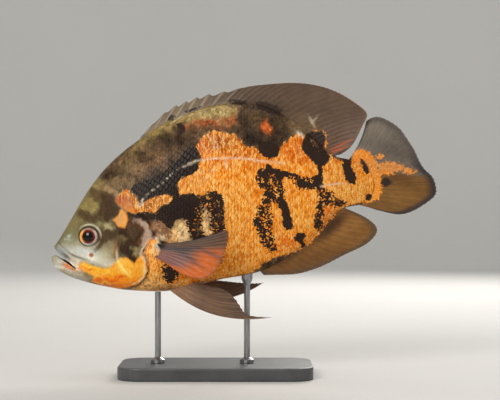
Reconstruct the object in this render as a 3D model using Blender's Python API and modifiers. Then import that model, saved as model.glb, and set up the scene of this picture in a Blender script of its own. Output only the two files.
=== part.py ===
"""Oscar cichlid, life size, swimming pose, on a plain display stand.

Metres, +Z up.  The fish faces -X and its left flank faces -Y.  The origin is
on the floor under the middle of the fish's length.
The side profile is laid out on a drawing whose unit is UNIT metres: u runs
towards the tail, v runs down, and w is the distance from the mid plane.
"""
import math

import bmesh
import bpy
import numpy as np
from mathutils import Matrix

# ---------------------------------------------------------------- dimensions
TOTAL_LENGTH = 0.305            # lower lip to tail tip, along the tilted axis
DRAWING_LENGTH = 391.0          # the same length in drawing units
UNIT = TOTAL_LENGTH / DRAWING_LENGTH
U_MID = 244.25                  # drawing u of x = 0
V_FLOOR = 375.7                 # drawing v of z = 0
GAP = 0.0003                    # clearance kept between touching solids

EYE_U, EYE_V, EYE_W = 90.2, 237.3, 14.6
EYE_R = 11.5                    # eyeball radius, in drawing units

BASE_L, BASE_W, BASE_H = 0.150, 0.084, 0.010
BASE_X = -0.022                # under the middle of the fish's weight
BASE_CORNER = 0.018
ROD_R = 0.0024
ROD_PAD, ROD_FOOT = 0.0044, 0.0056
ROD_U = (158.0, 247.0)          # where the two rods meet the belly
ROD_TOP_V = 268.0               # the rods are cut back to the belly from here

RINGS, SIDES = 48, 32           # facets of the body loft


def place(u, v, w):
    """Drawing units to the row frame."""
    return np.stack([(np.asarray(u) - U_MID) * UNIT,
                     np.asarray(w) * UNIT + 0.0 * np.asarray(u),
                     (V_FLOOR - np.asarray(v)) * UNIT], axis=-1)


# ------------------------------------------------------------------- splines
def spline(knots, values, t):
    """Natural cubic spline through values at knots."""
    x, y = np.asarray(knots, float), np.asarray(values, float)
    n, h = len(x), np.diff(x)
    a, b = np.zeros((n, n)), np.zeros((n,) + y.shape[1:])
    a[0, 0] = a[-1, -1] = 1.0
    for i in range(1, n - 1):
        a[i, i - 1:i + 2] = h[i - 1], 2 * (h[i - 1] + h[i]), h[i]
        b[i] = 6 * ((y[i + 1] - y[i]) / h[i] - (y[i] - y[i - 1]) / h[i - 1])
    m = np.linalg.solve(a, b)
    t = np.clip(np.asarray(t, float), x[0], x[-1])
    k = np.clip(np.searchsorted(x, t) - 1, 0, n - 2)
    hk = h[k]
    p, q = (x[k + 1] - t) / hk, (t - x[k]) / hk
    ex = (Ellipsis,) + (None,) * (y.ndim - 1)
    return (p[ex] * y[k] + q[ex] * y[k + 1]
            + ((p ** 3 - p) * hk ** 2 / 6)[ex] * m[k]
            + ((q ** 3 - q) * hk ** 2 / 6)[ex] * m[k + 1])


# ----------------------------------------------------------------- the body
# Each station is one ring: top of the mid line, bottom of the mid line, the
# widest point on the flank, and how square the upper and lower halves are.
#        top u, v      bottom u, v    side u, v     half    square
#                                                   width   up   down
BODY = (
    (66.0, 257.6, 64.8, 260.0, 77.0, 268.4, 7.0, 1.7, 1.7),     # in the mouth
    (61.0, 253.4, 59.3, 257.6, 77.6, 268.8, 10.5, 1.7, 1.7),
    (57.2, 250.4, 55.2, 255.6, 78.0, 268.9, 12.5, 1.8, 1.8),    # lip edges
    (54.9, 247.6, 52.3, 257.2, 78.8, 268.8, 13.9, 1.9, 1.9),
    (54.9, 245.2, 51.6, 260.6, 80.2, 268.2, 15.1, 2.0, 2.0),    # lips
    (56.6, 242.4, 53.2, 265.4, 82.6, 266.6, 16.6, 2.1, 2.1),
    (61.4, 234.9, 59.6, 271.4, 87.0, 261.4, 19.3, 2.3, 2.2),
    (70.0, 220.6, 70.4, 277.0, 93.4, 255.4, 23.1, 2.4, 2.3),    # nostrils
    (80.3, 202.6, 82.4, 281.0, 100.6, 250.4, 26.2, 2.4, 2.4),   # eyes
    (92.2, 184.2, 95.4, 284.6, 109.6, 246.0, 29.0, 2.3, 2.4),
    (107.0, 166.2, 109.4, 287.4, 120.4, 242.0, 31.4, 2.15, 2.4),
    (124.0, 150.6, 124.4, 289.8, 132.4, 238.0, 33.4, 2.05, 2.4),
    (142.0, 136.9, 141.0, 291.2, 146.0, 232.4, 35.0, 1.95, 2.35),  # gill cover
    (160.0, 125.2, 159.6, 291.6, 161.0, 226.0, 35.7, 1.9, 2.3),
    (180.0, 116.6, 180.0, 289.8, 180.0, 218.4, 35.7, 1.9, 2.25),
    (202.0, 108.4, 202.0, 284.6, 202.0, 210.0, 34.4, 1.9, 2.2),
    (226.0, 103.0, 226.0, 278.6, 226.0, 202.0, 31.8, 1.9, 2.1),
    (250.0, 102.4, 250.0, 274.6, 250.0, 195.6, 28.3, 1.85, 1.95),
    (272.0, 108.2, 272.0, 266.6, 272.0, 191.0, 24.0, 1.85, 1.85),
    (292.0, 119.6, 292.0, 254.6, 292.0, 187.6, 19.3, 1.85, 1.85),
    (310.0, 133.8, 310.0, 240.6, 310.0, 185.4, 15.8, 1.9, 1.9),
    (325.0, 147.4, 325.0, 224.6, 325.0, 184.0, 11.8, 2.0, 2.0),
    (338.0, 156.2, 338.0, 211.6, 338.0, 183.4, 8.8, 2.1, 2.1),
    (350.0, 158.8, 350.4, 206.8, 351.0, 183.2, 6.6, 2.1, 2.1),
    (360.0, 162.6, 361.6, 204.4, 363.0, 183.6, 4.6, 2.0, 2.0),  # tail root
    (368.4, 171.0, 369.8, 198.0, 374.0, 184.4, 2.2, 2.0, 2.0),
)


def body_knots():
    p = np.array(BODY)[:, :6].reshape(-1, 3, 2)
    step = np.linalg.norm(np.diff(p, axis=0), axis=2).mean(axis=1)
    return np.concatenate([[0.0], np.cumsum(step)])


KNOTS = body_knots()


def body_surface(t, a):
    """(u, v, w) of the skin at ring t and angle a: 0 on the back, pi under
    the belly, and beyond pi the right flank."""
    tu, tv, bu, bv, su, sv, half, up, down = np.moveaxis(
        spline(KNOTS, np.array(BODY), t), -1, 0)
    f = np.clip((sv - tv) / (bv - tv), 0.0, 0.62)
    mu, mv = tu + (bu - tu) * f, tv + (bv - tv) * f
    c, s = np.cos(a), np.sin(a)
    upper = c >= 0
    n = np.where(upper, up, down)
    ca, sa = np.abs(c) ** (2 / n), np.abs(s) ** (2 / n)
    u = mu + np.where(upper, tu - mu, bu - mu) * ca + (su - mu) * s * s
    v = mv + np.where(upper, tv - mv, bv - mv) * ca + (sv - mv) * s * s
    return u, v, -half * sa * np.sign(s)


def body_mesh(name, swell=0.0):
    """The whole body as one closed loft, swollen outwards by swell metres."""
    t = np.concatenate([KNOTS[0] + (KNOTS[6] - KNOTS[0]) * np.linspace(0, 1, 11)[:-1],
                        np.linspace(KNOTS[6], KNOTS[-1], RINGS - 10)])
    a = np.linspace(0, 2 * np.pi, SIDES, endpoint=False)
    tt, aa = np.meshgrid(t, a, indexing="ij")
    p = place(*body_surface(tt, aa))
    if swell:
        d = 1e-3
        e1 = place(*body_surface(tt + d, aa)) - place(*body_surface(tt - d, aa))
        e2 = (np.roll(p, -1, axis=1) - np.roll(p, 1, axis=1))
        n = np.cross(e1, e2)
        n /= np.linalg.norm(n, axis=-1, keepdims=True) + 1e-15
        p = p + n * swell * np.sign((n * (p - p.mean(axis=1, keepdims=True))).sum(-1, keepdims=True))
        p[-2:, :, 0] += swell * 1.5
    bm = bmesh.new()
    rings = [[bm.verts.new(q) for q in ring] for ring in p]
    for r0, r1 in zip(rings, rings[1:]):
        for k in range(SIDES):
            j = (k + 1) % SIDES
            bm.faces.new((r0[k], r0[j], r1[j], r1[k]))
    for ring in (rings[0], rings[-1]):
        hub = bm.verts.new(sum((q.co for q in ring), ring[0].co * 0) / SIDES)
        for k in range(SIDES):
            bm.faces.new((ring[k], ring[(k + 1) % SIDES], hub))
    bmesh.ops.recalc_face_normals(bm, faces=bm.faces)
    me = bpy.data.meshes.new(name)
    bm.to_mesh(me)
    bm.free()
    return me


# ------------------------------------------------------------------- helpers
def clear():
    for ob in list(bpy.data.objects):
        bpy.data.objects.remove(ob)


def material(name, rgb, rough=0.45, metal=0.0):
    m = bpy.data.materials.new(name)
    m.use_nodes = True
    s = m.node_tree.nodes["Principled BSDF"]
    s.inputs["Base Color"].default_value = (*rgb, 1.0)
    s.inputs["Roughness"].default_value = rough
    s.inputs["Metallic"].default_value = metal
    m.diffuse_color = (*rgb, 1.0)
    return m


def add(name, me, mat, coll, smooth=True):
    ob = bpy.data.objects.new(name, me)
    coll.objects.link(ob)
    me.materials.clear()
    me.materials.append(mat)
    if smooth:
        me.shade_smooth()
    return ob


def cutter(name, me, coll):
    ob = bpy.data.objects.new(name, me)
    coll.objects.link(ob)
    ob.hide_render = True
    ob.display_type = "WIRE"
    return ob


def boolean(ob, other, operation="DIFFERENCE"):
    m = ob.modifiers.new(operation.title() + "_" + other.name, "BOOLEAN")
    m.operation, m.object, m.solver = operation, other, "EXACT"
    return m


def offset(points, d):
    """A downward polyline moved d drawing units towards the tail."""
    p = np.array(points, float)
    g = np.gradient(p, axis=0)
    n = np.stack([g[:, 1], -g[:, 0]], axis=1)
    return p + d * n / np.linalg.norm(n, axis=1, keepdims=True)


def inset(points, d):
    """A closed outline with every edge moved inwards by d drawing units."""
    p = np.array(points, float)
    area = 0.5 * np.sum(p[:, 0] * np.roll(p[:, 1], -1) - p[:, 1] * np.roll(p[:, 0], -1))
    e = np.roll(p, -1, axis=0) - p
    n = np.stack([-e[:, 1], e[:, 0]], axis=1) * np.sign(area)
    n /= np.linalg.norm(n, axis=1, keepdims=True)
    back = np.roll(n, 1, axis=0)
    return p + d * (n + back) / (1 + (n * back).sum(axis=1, keepdims=True))


def smooth_line(points, n):
    p = np.array(points, float)
    k = np.concatenate([[0], np.cumsum(np.linalg.norm(np.diff(p, axis=0), axis=1))])
    return spline(k, p, np.linspace(0, k[-1], n))


def prism(name, outline, w0, w1, coll):
    """A cutter: an outline on the side drawing, pulled across from w0 to w1."""
    bm = bmesh.new()
    low = [bm.verts.new(place(u, v, w0)) for u, v in outline]
    face = bm.faces.new(low)
    made = bmesh.ops.extrude_face_region(bm, geom=[face])["geom"]
    shift = (0.0, (w1 - w0) * UNIT, 0.0)
    bmesh.ops.translate(bm, verts=[g for g in made if isinstance(g, bmesh.types.BMVert)], vec=shift)
    bmesh.ops.recalc_face_normals(bm, faces=bm.faces)
    me = bpy.data.meshes.new(name)
    bm.to_mesh(me)
    bm.free()
    return cutter(name, me, coll)


# ---------------------------------------------------------------------- fins
# One row per guide ray: root u, v, tip u, v, and how far the ray bows.
DORSAL = (
    (138, 143, 141, 136.6, 0), (146, 137, 154, 122.4, 0), (158, 129.5, 170, 108.6, 0),
    (170, 123.5, 183, 102.4, 0), (184, 118, 196, 97.6, 0), (200, 112, 211, 93.8, 0),
    (215, 107.6, 230, 90.4, 0), (230, 105.6, 249, 86.4, -1), (245, 105.6, 272, 83.8, -2),
    (259, 108, 297, 82.8, -3), (272, 113, 321, 86.2, -4), (284, 120, 341, 93.8, -4),
    (295, 128, 357, 104, -5), (305, 136.5, 366.8, 113.6, -5), (313, 144, 364, 123, -4),
    (320, 150, 357.6, 136, -3), (326, 154.5, 350, 147.6, -2), (330, 159, 340, 154.6, -1),
)
ANAL = (
    (258, 269, 264, 275.2, 0), (267, 265.6, 280, 274.8, 0), (276, 260.6, 296, 274, 1),
    (286, 254.8, 312, 270, 2), (295, 248.6, 327, 264, 3), (303, 242, 342, 256.2, 3),
    (310, 235.4, 356, 249.6, 4), (316.5, 228.6, 368, 243, 4), (322, 222, 376.6, 233.4, 3),
    (326, 216, 375, 224.6, 2), (328, 212, 364, 216.4, 1), (330, 208, 353, 211.4, 0),
    (332, 204, 342, 206.6, 0),
)
CAUDAL = (
    (346, 163, 366.4, 121, 3), (350, 164, 372, 117.2, 3), (353, 166, 380.4, 116.6, 2),
    (356, 168, 391, 121.2, 2), (358, 170.4, 401, 129, 1), (359.5, 173.2, 409, 140.4, 1),
    (360.5, 176.4, 415, 150, 0), (361, 179.6, 419.8, 160.6, 0), (361.4, 182.8, 426, 170, 0),
    (361.4, 186, 433, 177, -1), (361, 189, 436.6, 187.6, -1), (360.4, 192, 435, 196, -1),
    (359, 195, 425.6, 203.8, -1), (357, 197.8, 413, 211.2, -1), (354.5, 200.2, 400, 214.5, -1),
    (351, 202, 388, 212.8, -1), (347, 203, 376, 209.8, -1),
)
PECTORAL = (
    (150, 242.4, 226.4, 228.4, 4.5), (150, 243.4, 229.6, 230.6, 4), (150, 244.4, 229.4, 236.4, 3),
    (150, 245.4, 228.4, 243, 1.5), (150, 246.4, 226, 250.6, 0), (150, 247.4, 222, 260, -1),
    (150, 248.4, 216, 269.6, -2), (150, 249.4, 205, 276.4, -2), (150, 250.6, 190, 274.4, -1.5),
    (150, 252.0, 175, 266.6, -1),
)
PELVIC = (
    (166, 286.0, 272, 315.6, 13), (170, 285.6, 254, 314.6, 10.5), (174, 285.0, 245, 311, 8),
    (178, 284.2, 240, 304, 5), (182, 283.2, 233, 294.6, 3), (186, 281.8, 223, 288, 1.5),
    (190, 280, 208, 284, 0.5),
)
PELVIC_FAR = (
    (166, 286.0, 264, 283.4, 16), (170, 285.6, 257, 284, 13), (174, 285.0, 249, 284, 10),
    (178, 284.2, 240, 283.4, 7), (182, 283.2, 231, 282.6, 4), (186, 281.8, 221, 281.6, 2),
    (190, 280, 208, 281, 0.5),
)


def ramp(x, lo, hi):
    t = min(1.0, max(0.0, (x - lo) / (hi - lo)))
    return t * t * (3 - 2 * t)


def dorsal_lean(a, b):
    """The soft hind lobe leans out to the left, over the tail's root."""
    return 0.5 * math.sin(9 * a) * b * b + 6.0 * ramp(a, 0.55, 0.95) * b ** 1.3


def anal_lean(a, b):
    return 0.6 * math.sin(7 * a) * b * b + 1.5 * ramp(a, 0.4, 0.9) * b ** 1.3


def caudal_lean(a, b):
    """The upper corner is swept to the right, the lower corner to the left."""
    return -3.4 * (1 - ramp(a, 0.0, 0.7)) * b + 2.2 * ramp(a, 0.5, 1.0) * b * b


def pectoral_lean(a, b):
    """Held out from the flank at the top, folded in along its lower half."""
    out = 34.0 - 13.0 * ramp(a, 0.05, 0.55) - 8.0 * ramp(a, 0.4, 1.0)
    return 29.5 - 1.5 * a + out * b + 3.0 * math.sin(math.pi * b)


def pelvic_lean(a, b):
    return 9.5 + 1.6 * a + 12.0 * b * (1 - 0.35 * a) + 3.0 * math.sin(math.pi * b)


def pelvic_far_lean(a, b):
    return 9.5 + 1.6 * a + 8.5 * b * (1 - 0.3 * a) + 4.0 * math.sin(math.pi * b)


def fin_surface(rays, a, b, scallop=None):
    """(u, v) of a fin: a runs 0 to 1 across the rays, b from root to tip."""
    g = spline(np.linspace(0, 1, len(rays)), np.array(rays, float), a)
    ru, rv, tu, tv, bow = np.moveaxis(g, -1, 0)
    reach = b if scallop is None else b * (1 - scallop)
    du, dv = tu - ru, tv - rv
    long = np.hypot(du, dv) + 1e-9
    lift = bow * 4 * reach * (1 - reach)
    return ru + du * reach - dv / long * lift, rv + dv * reach + du / long * lift


def fin_object(name, rays, spread, columns, rows, thick, mat, coll, body,
               scallops=0, depth=0.0, first=0.5, tip_thin=0.38, side=-1):
    """A fin as an open sheet given thickness, cut back from the body."""
    bm = bmesh.new()
    bmesh.ops.create_grid(bm, x_segments=columns, y_segments=rows, size=0.5)
    layer = bm.verts.layers.deform.verify()
    for q in bm.verts:
        a, b = q.co.x + 0.5, q.co.y + 0.5
        dip = 0.0
        if scallops:
            wave = abs(math.sin(math.pi * a * scallops))
            dip = depth * wave * min(1.0, max(0.0, (first - a) / 0.12)) * b ** 3
        u, v = fin_surface(rays, np.array(a), np.array(b), np.array(dip))
        w = spread(a, b)
        q.co = place(float(u), float(v), side * w)
        q[layer][0] = max(0.0, min(1.0, 1 - (1 - tip_thin) * b ** 0.7))
    me = bpy.data.meshes.new(name)
    bm.to_mesh(me)
    bm.free()
    ob = add(name, me, mat, coll)
    ob.vertex_groups.new(name="thickness")
    m = ob.modifiers.new("Thickness", "SOLIDIFY")
    m.thickness, m.offset = thick, 0.0
    m.vertex_group, m.thickness_vertex_group = "thickness", 0.0
    boolean(ob, body)
    return ob


# --------------------------------------------------------------------- build
clear()
scene = bpy.context.scene
fish = bpy.data.collections.new("oscar_fish")
cuts = bpy.data.collections.new("cutters")
scene.collection.children.link(fish)
scene.collection.children.link(cuts)

flesh = material("flesh", (0.62, 0.30, 0.09), 0.42)
dark = material("dark_flesh", (0.16, 0.13, 0.11), 0.42)
grey = material("head_skin", (0.36, 0.36, 0.28), 0.42)
finm = material("fin_web", (0.27, 0.22, 0.19), 0.45)
eyem = material("eye", (0.30, 0.10, 0.03), 0.12)
basem = material("stand_black", (0.05, 0.05, 0.055), 0.5)
rodm = material("stand_steel", (0.62, 0.62, 0.64), 0.28, 1.0)

whole = cutter("body_whole", body_mesh("body_whole"), cuts)
swollen = cutter("body_swollen", body_mesh("body_swollen", GAP * 1.15), cuts)

# The flank is parted along the lines a person would name.
FAR = 70.0
gill_edge = smooth_line(
    ((116, 96), (124, 150), (130, 190), (136, 213), (147.6, 223.5), (152.4, 233),
     (150.2, 240.4), (145.4, 247), (144.2, 254), (147.4, 262), (148, 270),
     (144.6, 278), (136, 285.4), (124, 292), (108, 304)), 46)
cut_head = prism("cut_head", np.vstack([offset(gill_edge, -0.2), [(20, 304), (20, 96)]]), -FAR, FAR, cuts)
cut_head_wide = prism("cut_head_wide", np.vstack([offset(gill_edge, 0.2), [(20, 304), (20, 96)]]),
                      -FAR, FAR, cuts)
tail_edge = smooth_line(((330, 110), (322, 150), (320, 184), (323, 214), (332, 262)), 14)
cut_tail = prism("cut_tail", np.vstack([offset(tail_edge, 0.2), [(470, 262), (470, 110)]]), -FAR, FAR, cuts)
cut_tail_wide = prism("cut_tail_wide", np.vstack([offset(tail_edge, -0.2), [(470, 262), (470, 110)]]),
                      -FAR, FAR, cuts)

# The mouth: the gape runs from the lips to the corner, then to the jaw joint.
gape = ((30, 247.5), (56, 252.8), (65.4, 259.3), (78.4, 269.5), (86, 271.9))
lip_top = ((30, 240), (57.6, 241.4), (63.4, 247.6), (70, 253.4), (77.4, 257.6), (85.6, 261.6))
jaw_back = ((90, 277), (88, 300), (30, 300))
upper = np.array(lip_top + tuple(reversed(gape)))
lower = np.array(gape + jaw_back)
cut_upper = prism("cut_upper_jaw", inset(upper, 0.2), -FAR, FAR, cuts)
cut_upper_wide = prism("cut_upper_jaw_wide", inset(upper, -0.2), -FAR, FAR, cuts)
cut_lower = prism("cut_lower_jaw", inset(lower, 0.2), -FAR, FAR, cuts)
cut_lower_wide = prism("cut_lower_jaw_wide", inset(lower, -0.2), -FAR, FAR, cuts)

# The gill cover starts at the cheek's hind ridge and ends at the gill edge.
cheek_edge = smooth_line(
    ((134, 203), (125, 211.5), (120, 224), (117.8, 238), (117.4, 251), (119.6, 262.6),
     (125.4, 272.6), (134, 281.6)), 22)
cover_back = [(176, 281.6), (176, 203)]
COVER_INNER = 14.0

for side, label in ((-1, "left"), (1, "right")):
    near, far = side * COVER_INNER, side * FAR
    prism("cut_cover_" + label, np.vstack([offset(cheek_edge, 0.2), cover_back]), near, far, cuts)
    prism("cut_cover_wide_" + label,
          np.vstack([offset(cheek_edge, -0.2), [(176, 282.2), (176, 202.4)]]),
          side * (COVER_INNER - 0.5), far, cuts)


def ball(name, centre, radius, segments, rings):
    bm = bmesh.new()
    bmesh.ops.create_uvsphere(bm, u_segments=segments, v_segments=rings, radius=radius)
    bmesh.ops.rotate(bm, verts=bm.verts, matrix=Matrix.Rotation(math.pi / 2, 3, "X"))
    bmesh.ops.translate(bm, verts=bm.verts, vec=tuple(centre))
    me = bpy.data.meshes.new(name)
    bm.to_mesh(me)
    bm.free()
    return me


# Body parts: the whole loft, cut to each part's own region.
head = add("head", body_mesh("head"), grey, fish)
boolean(head, cut_head, "INTERSECT")
for other in (cut_upper_wide, cut_lower_wide, cuts.objects["cut_cover_wide_left"],
              cuts.objects["cut_cover_wide_right"]):
    boolean(head, other)
for side, label in ((-1, "left"), (1, "right")):
    centre = place(EYE_U, EYE_V, side * EYE_W)
    add("eye_" + label, ball("eye_" + label, centre, EYE_R * UNIT, 16, 9), eyem, fish)
    boolean(head, cutter("cut_eye_" + label, ball("cut_eye_" + label, centre, EYE_R * UNIT + GAP, 16, 9), cuts))
    cover = add("gill_cover_" + label, body_mesh("gill_cover_" + label), grey, fish)
    boolean(cover, cut_head, "INTERSECT")
    boolean(cover, cuts.objects["cut_cover_" + label], "INTERSECT")

upper_jaw = add("upper_jaw", body_mesh("upper_jaw"), grey, fish)
boolean(upper_jaw, cut_upper, "INTERSECT")
lower_jaw = add("lower_jaw", body_mesh("lower_jaw"), grey, fish)
boolean(lower_jaw, cut_lower, "INTERSECT")
trunk = add("trunk", body_mesh("trunk"), flesh, fish)
boolean(trunk, cut_head_wide)
boolean(trunk, cut_tail_wide)
tail = add("tail_stalk", body_mesh("tail_stalk"), dark, fish)
boolean(tail, cut_tail, "INTERSECT")

# Fins.
THICK, PECTORAL_THICK = 0.0016, 0.0011
fin_object("dorsal_fin", DORSAL, dorsal_lean, 39, 4, THICK, finm, fish, swollen,
           scallops=13, depth=0.10, first=0.42)
fin_object("anal_fin", ANAL, anal_lean, 18, 4, THICK, finm, fish, swollen)
fin_object("caudal_fin", CAUDAL, caudal_lean, 20, 5, THICK, finm, fish, swollen)
fin_object("pectoral_fin_left", PECTORAL, pectoral_lean, 11, 6, PECTORAL_THICK, finm, fish, swollen,
           tip_thin=0.55, side=-1)
fin_object("pectoral_fin_right", PECTORAL, pectoral_lean, 11, 6, PECTORAL_THICK, finm, fish, swollen,
           tip_thin=0.55, side=1)
fin_object("pelvic_fin_left", PELVIC, pelvic_lean, 6, 8, THICK, finm, fish, swollen, side=-1)
fin_object("pelvic_fin_right", PELVIC_FAR, pelvic_far_lean, 6, 8, THICK, finm, fish, swollen, side=1)

# ------------------------------------------------------------------- stand
bm = bmesh.new()
bmesh.ops.create_cube(bm, size=1.0)
bmesh.ops.scale(bm, verts=bm.verts, vec=(BASE_L, BASE_W, BASE_H))
bmesh.ops.translate(bm, verts=bm.verts, vec=(BASE_X, 0.0, BASE_H / 2))
upright = [e for e in bm.edges if abs(e.verts[0].co.z - e.verts[1].co.z) > BASE_H / 2]
bmesh.ops.bevel(bm, geom=upright, offset=BASE_CORNER, segments=7, profile=0.5, affect="EDGES")
me = bpy.data.meshes.new("stand_base")
bm.to_mesh(me)
bm.free()
base = add("stand_base", me, basem, fish, smooth=False)
m = base.modifiers.new("Edge", "BEVEL")
m.width, m.segments, m.limit_method, m.angle_limit = 0.0012, 2, "ANGLE", math.radians(60)
m.harden_normals = False


def rod(name, u):
    """A turned rod: a foot on the base, and a small pad cut to the belly."""
    x, _, top = place(u, ROD_TOP_V, 0.0)
    z0 = BASE_H + GAP
    profile = ((0.0, top), (ROD_PAD, top), (ROD_PAD, top - 0.0085), (ROD_R, top - 0.0135),
               (ROD_R, z0 + 0.0045), (ROD_FOOT, z0 + 0.0025), (ROD_FOOT, z0), (0.0, z0))
    me = bpy.data.meshes.new(name)
    me.from_pydata([(r, 0.0, z) for r, z in profile], [(i, i + 1) for i in range(len(profile) - 1)], [])
    ob = add(name, me, rodm, fish)
    ob.location = (x, 0.0, 0.0)
    m = ob.modifiers.new("Turn", "SCREW")
    m.steps = m.render_steps = 16
    m.use_merge_vertices, m.merge_threshold = True, 0.00005
    m.use_smooth_shade = True
    boolean(ob, swollen)
    return ob


rod("stand_rod_front", ROD_U[0])
rod("stand_rod_rear", ROD_U[1])
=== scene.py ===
"""Looks of the oscar: skin, scales, rayed fins, eyes, stand, floor and light."""
import math

import bmesh
import bpy
import numpy as np
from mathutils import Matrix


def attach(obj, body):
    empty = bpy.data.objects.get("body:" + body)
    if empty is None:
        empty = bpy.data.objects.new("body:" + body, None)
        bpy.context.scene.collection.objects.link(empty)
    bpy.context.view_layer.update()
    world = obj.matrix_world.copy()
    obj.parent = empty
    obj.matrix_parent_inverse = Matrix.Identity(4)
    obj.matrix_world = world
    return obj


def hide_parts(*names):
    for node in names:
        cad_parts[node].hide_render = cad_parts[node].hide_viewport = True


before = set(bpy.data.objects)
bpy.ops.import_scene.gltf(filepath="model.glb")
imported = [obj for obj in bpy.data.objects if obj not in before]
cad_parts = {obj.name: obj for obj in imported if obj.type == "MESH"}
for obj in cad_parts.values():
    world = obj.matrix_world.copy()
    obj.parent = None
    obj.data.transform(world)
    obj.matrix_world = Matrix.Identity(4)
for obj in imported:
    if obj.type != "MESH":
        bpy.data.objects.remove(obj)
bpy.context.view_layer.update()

# ------------------------------------------------------------------ drawing
UNIT = 0.305 / 391.0
U_MID, V_FLOOR = 244.25, 375.7
MM = 0.001
EYE_U, EYE_V, EYE_W, EYE_R = 90.2, 237.3, 14.6, 11.5
COAT = 0.35 * MM                  # the skin lies this far inside the solids
GILL = ((116, 96), (124, 150), (130, 190), (136, 213), (147.6, 223.5), (152.4, 233),
        (150.2, 240.4), (145.4, 247), (144.2, 254), (147.4, 262), (148, 270),
        (144.6, 278), (136, 285.4), (124, 292), (108, 304))


def place(u, v, w):
    return np.stack([(u - U_MID) * UNIT, w * UNIT + 0.0 * u, (V_FLOOR - v) * UNIT], axis=-1)


def ramp(x, lo, hi):
    t = np.clip((x - lo) / (hi - lo), 0.0, 1.0)
    return t * t * (3 - 2 * t)


def bump1(x, c, s):
    return np.exp(-((x - c) / s) ** 2)


def spline(knots, values, t):
    """Natural cubic spline through values at knots."""
    x, y = np.asarray(knots, float), np.asarray(values, float)
    n, h = len(x), np.diff(x)
    a, b = np.zeros((n, n)), np.zeros((n,) + y.shape[1:])
    a[0, 0] = a[-1, -1] = 1.0
    for i in range(1, n - 1):
        a[i, i - 1:i + 2] = h[i - 1], 2 * (h[i - 1] + h[i]), h[i]
        b[i] = 6 * ((y[i + 1] - y[i]) / h[i] - (y[i] - y[i - 1]) / h[i - 1])
    m = np.linalg.solve(a, b)
    t = np.clip(np.asarray(t, float), x[0], x[-1])
    k = np.clip(np.searchsorted(x, t) - 1, 0, n - 2)
    hk = h[k]
    p, q = (x[k + 1] - t) / hk, (t - x[k]) / hk
    ex = (Ellipsis,) + (None,) * (y.ndim - 1)
    return (p[ex] * y[k] + q[ex] * y[k + 1]
            + ((p ** 3 - p) * hk ** 2 / 6)[ex] * m[k]
            + ((q ** 3 - q) * hk ** 2 / 6)[ex] * m[k + 1])


def smooth_line(points, n):
    p = np.array(points, float)
    k = np.concatenate([[0], np.cumsum(np.linalg.norm(np.diff(p, axis=0), axis=1))])
    return spline(k, p, np.linspace(0, k[-1], n))


# top u, v, bottom u, v, side u, v, half width, squareness above and below
BODY = (
    (66.0, 257.6, 64.8, 260.0, 77.0, 268.4, 7.0, 1.7, 1.7),
    (61.0, 253.4, 59.3, 257.6, 77.6, 268.8, 10.5, 1.7, 1.7),
    (57.2, 250.4, 55.2, 255.6, 78.0, 268.9, 12.5, 1.8, 1.8),
    (54.9, 247.6, 52.3, 257.2, 78.8, 268.8, 13.9, 1.9, 1.9),
    (54.9, 245.2, 51.6, 260.6, 80.2, 268.2, 15.1, 2.0, 2.0),
    (56.6, 242.4, 53.2, 265.4, 82.6, 266.6, 16.6, 2.1, 2.1),
    (61.4, 234.9, 59.6, 271.4, 87.0, 261.4, 19.3, 2.3, 2.2),
    (70.0, 220.6, 70.4, 277.0, 93.4, 255.4, 23.1, 2.4, 2.3),
    (80.3, 202.6, 82.4, 281.0, 100.6, 250.4, 26.2, 2.4, 2.4),
    (92.2, 184.2, 95.4, 284.6, 109.6, 246.0, 29.0, 2.3, 2.4),
    (107.0, 166.2, 109.4, 287.4, 120.4, 242.0, 31.4, 2.15, 2.4),
    (124.0, 150.6, 124.4, 289.8, 132.4, 238.0, 33.4, 2.05, 2.4),
    (142.0, 136.9, 141.0, 291.2, 146.0, 232.4, 35.0, 1.95, 2.35),
    (160.0, 125.2, 159.6, 291.6, 161.0, 226.0, 35.7, 1.9, 2.3),
    (180.0, 116.6, 180.0, 289.8, 180.0, 218.4, 35.7, 1.9, 2.25),
    (202.0, 108.4, 202.0, 284.6, 202.0, 210.0, 34.4, 1.9, 2.2),
    (226.0, 103.0, 226.0, 278.6, 226.0, 202.0, 31.8, 1.9, 2.1),
    (250.0, 102.4, 250.0, 274.6, 250.0, 195.6, 28.3, 1.85, 1.95),
    (272.0, 108.2, 272.0, 266.6, 272.0, 191.0, 24.0, 1.85, 1.85),
    (292.0, 119.6, 292.0, 254.6, 292.0, 187.6, 19.3, 1.85, 1.85),
    (310.0, 133.8, 310.0, 240.6, 310.0, 185.4, 15.8, 1.9, 1.9),
    (325.0, 147.4, 325.0, 224.6, 325.0, 184.0, 11.8, 2.0, 2.0),
    (338.0, 156.2, 338.0, 211.6, 338.0, 183.4, 8.8, 2.1, 2.1),
    (350.0, 158.8, 350.4, 206.8, 351.0, 183.2, 6.6, 2.1, 2.1),
    (360.0, 162.6, 361.6, 204.4, 363.0, 183.6, 4.6, 2.0, 2.0),
    (368.4, 171.0, 369.8, 198.0, 374.0, 184.4, 2.2, 2.0, 2.0),
)
_b = np.array(BODY)[:, :6].reshape(-1, 3, 2)
KNOTS = np.concatenate([[0.0], np.cumsum(np.linalg.norm(np.diff(_b, axis=0), axis=2).mean(axis=1))])


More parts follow.
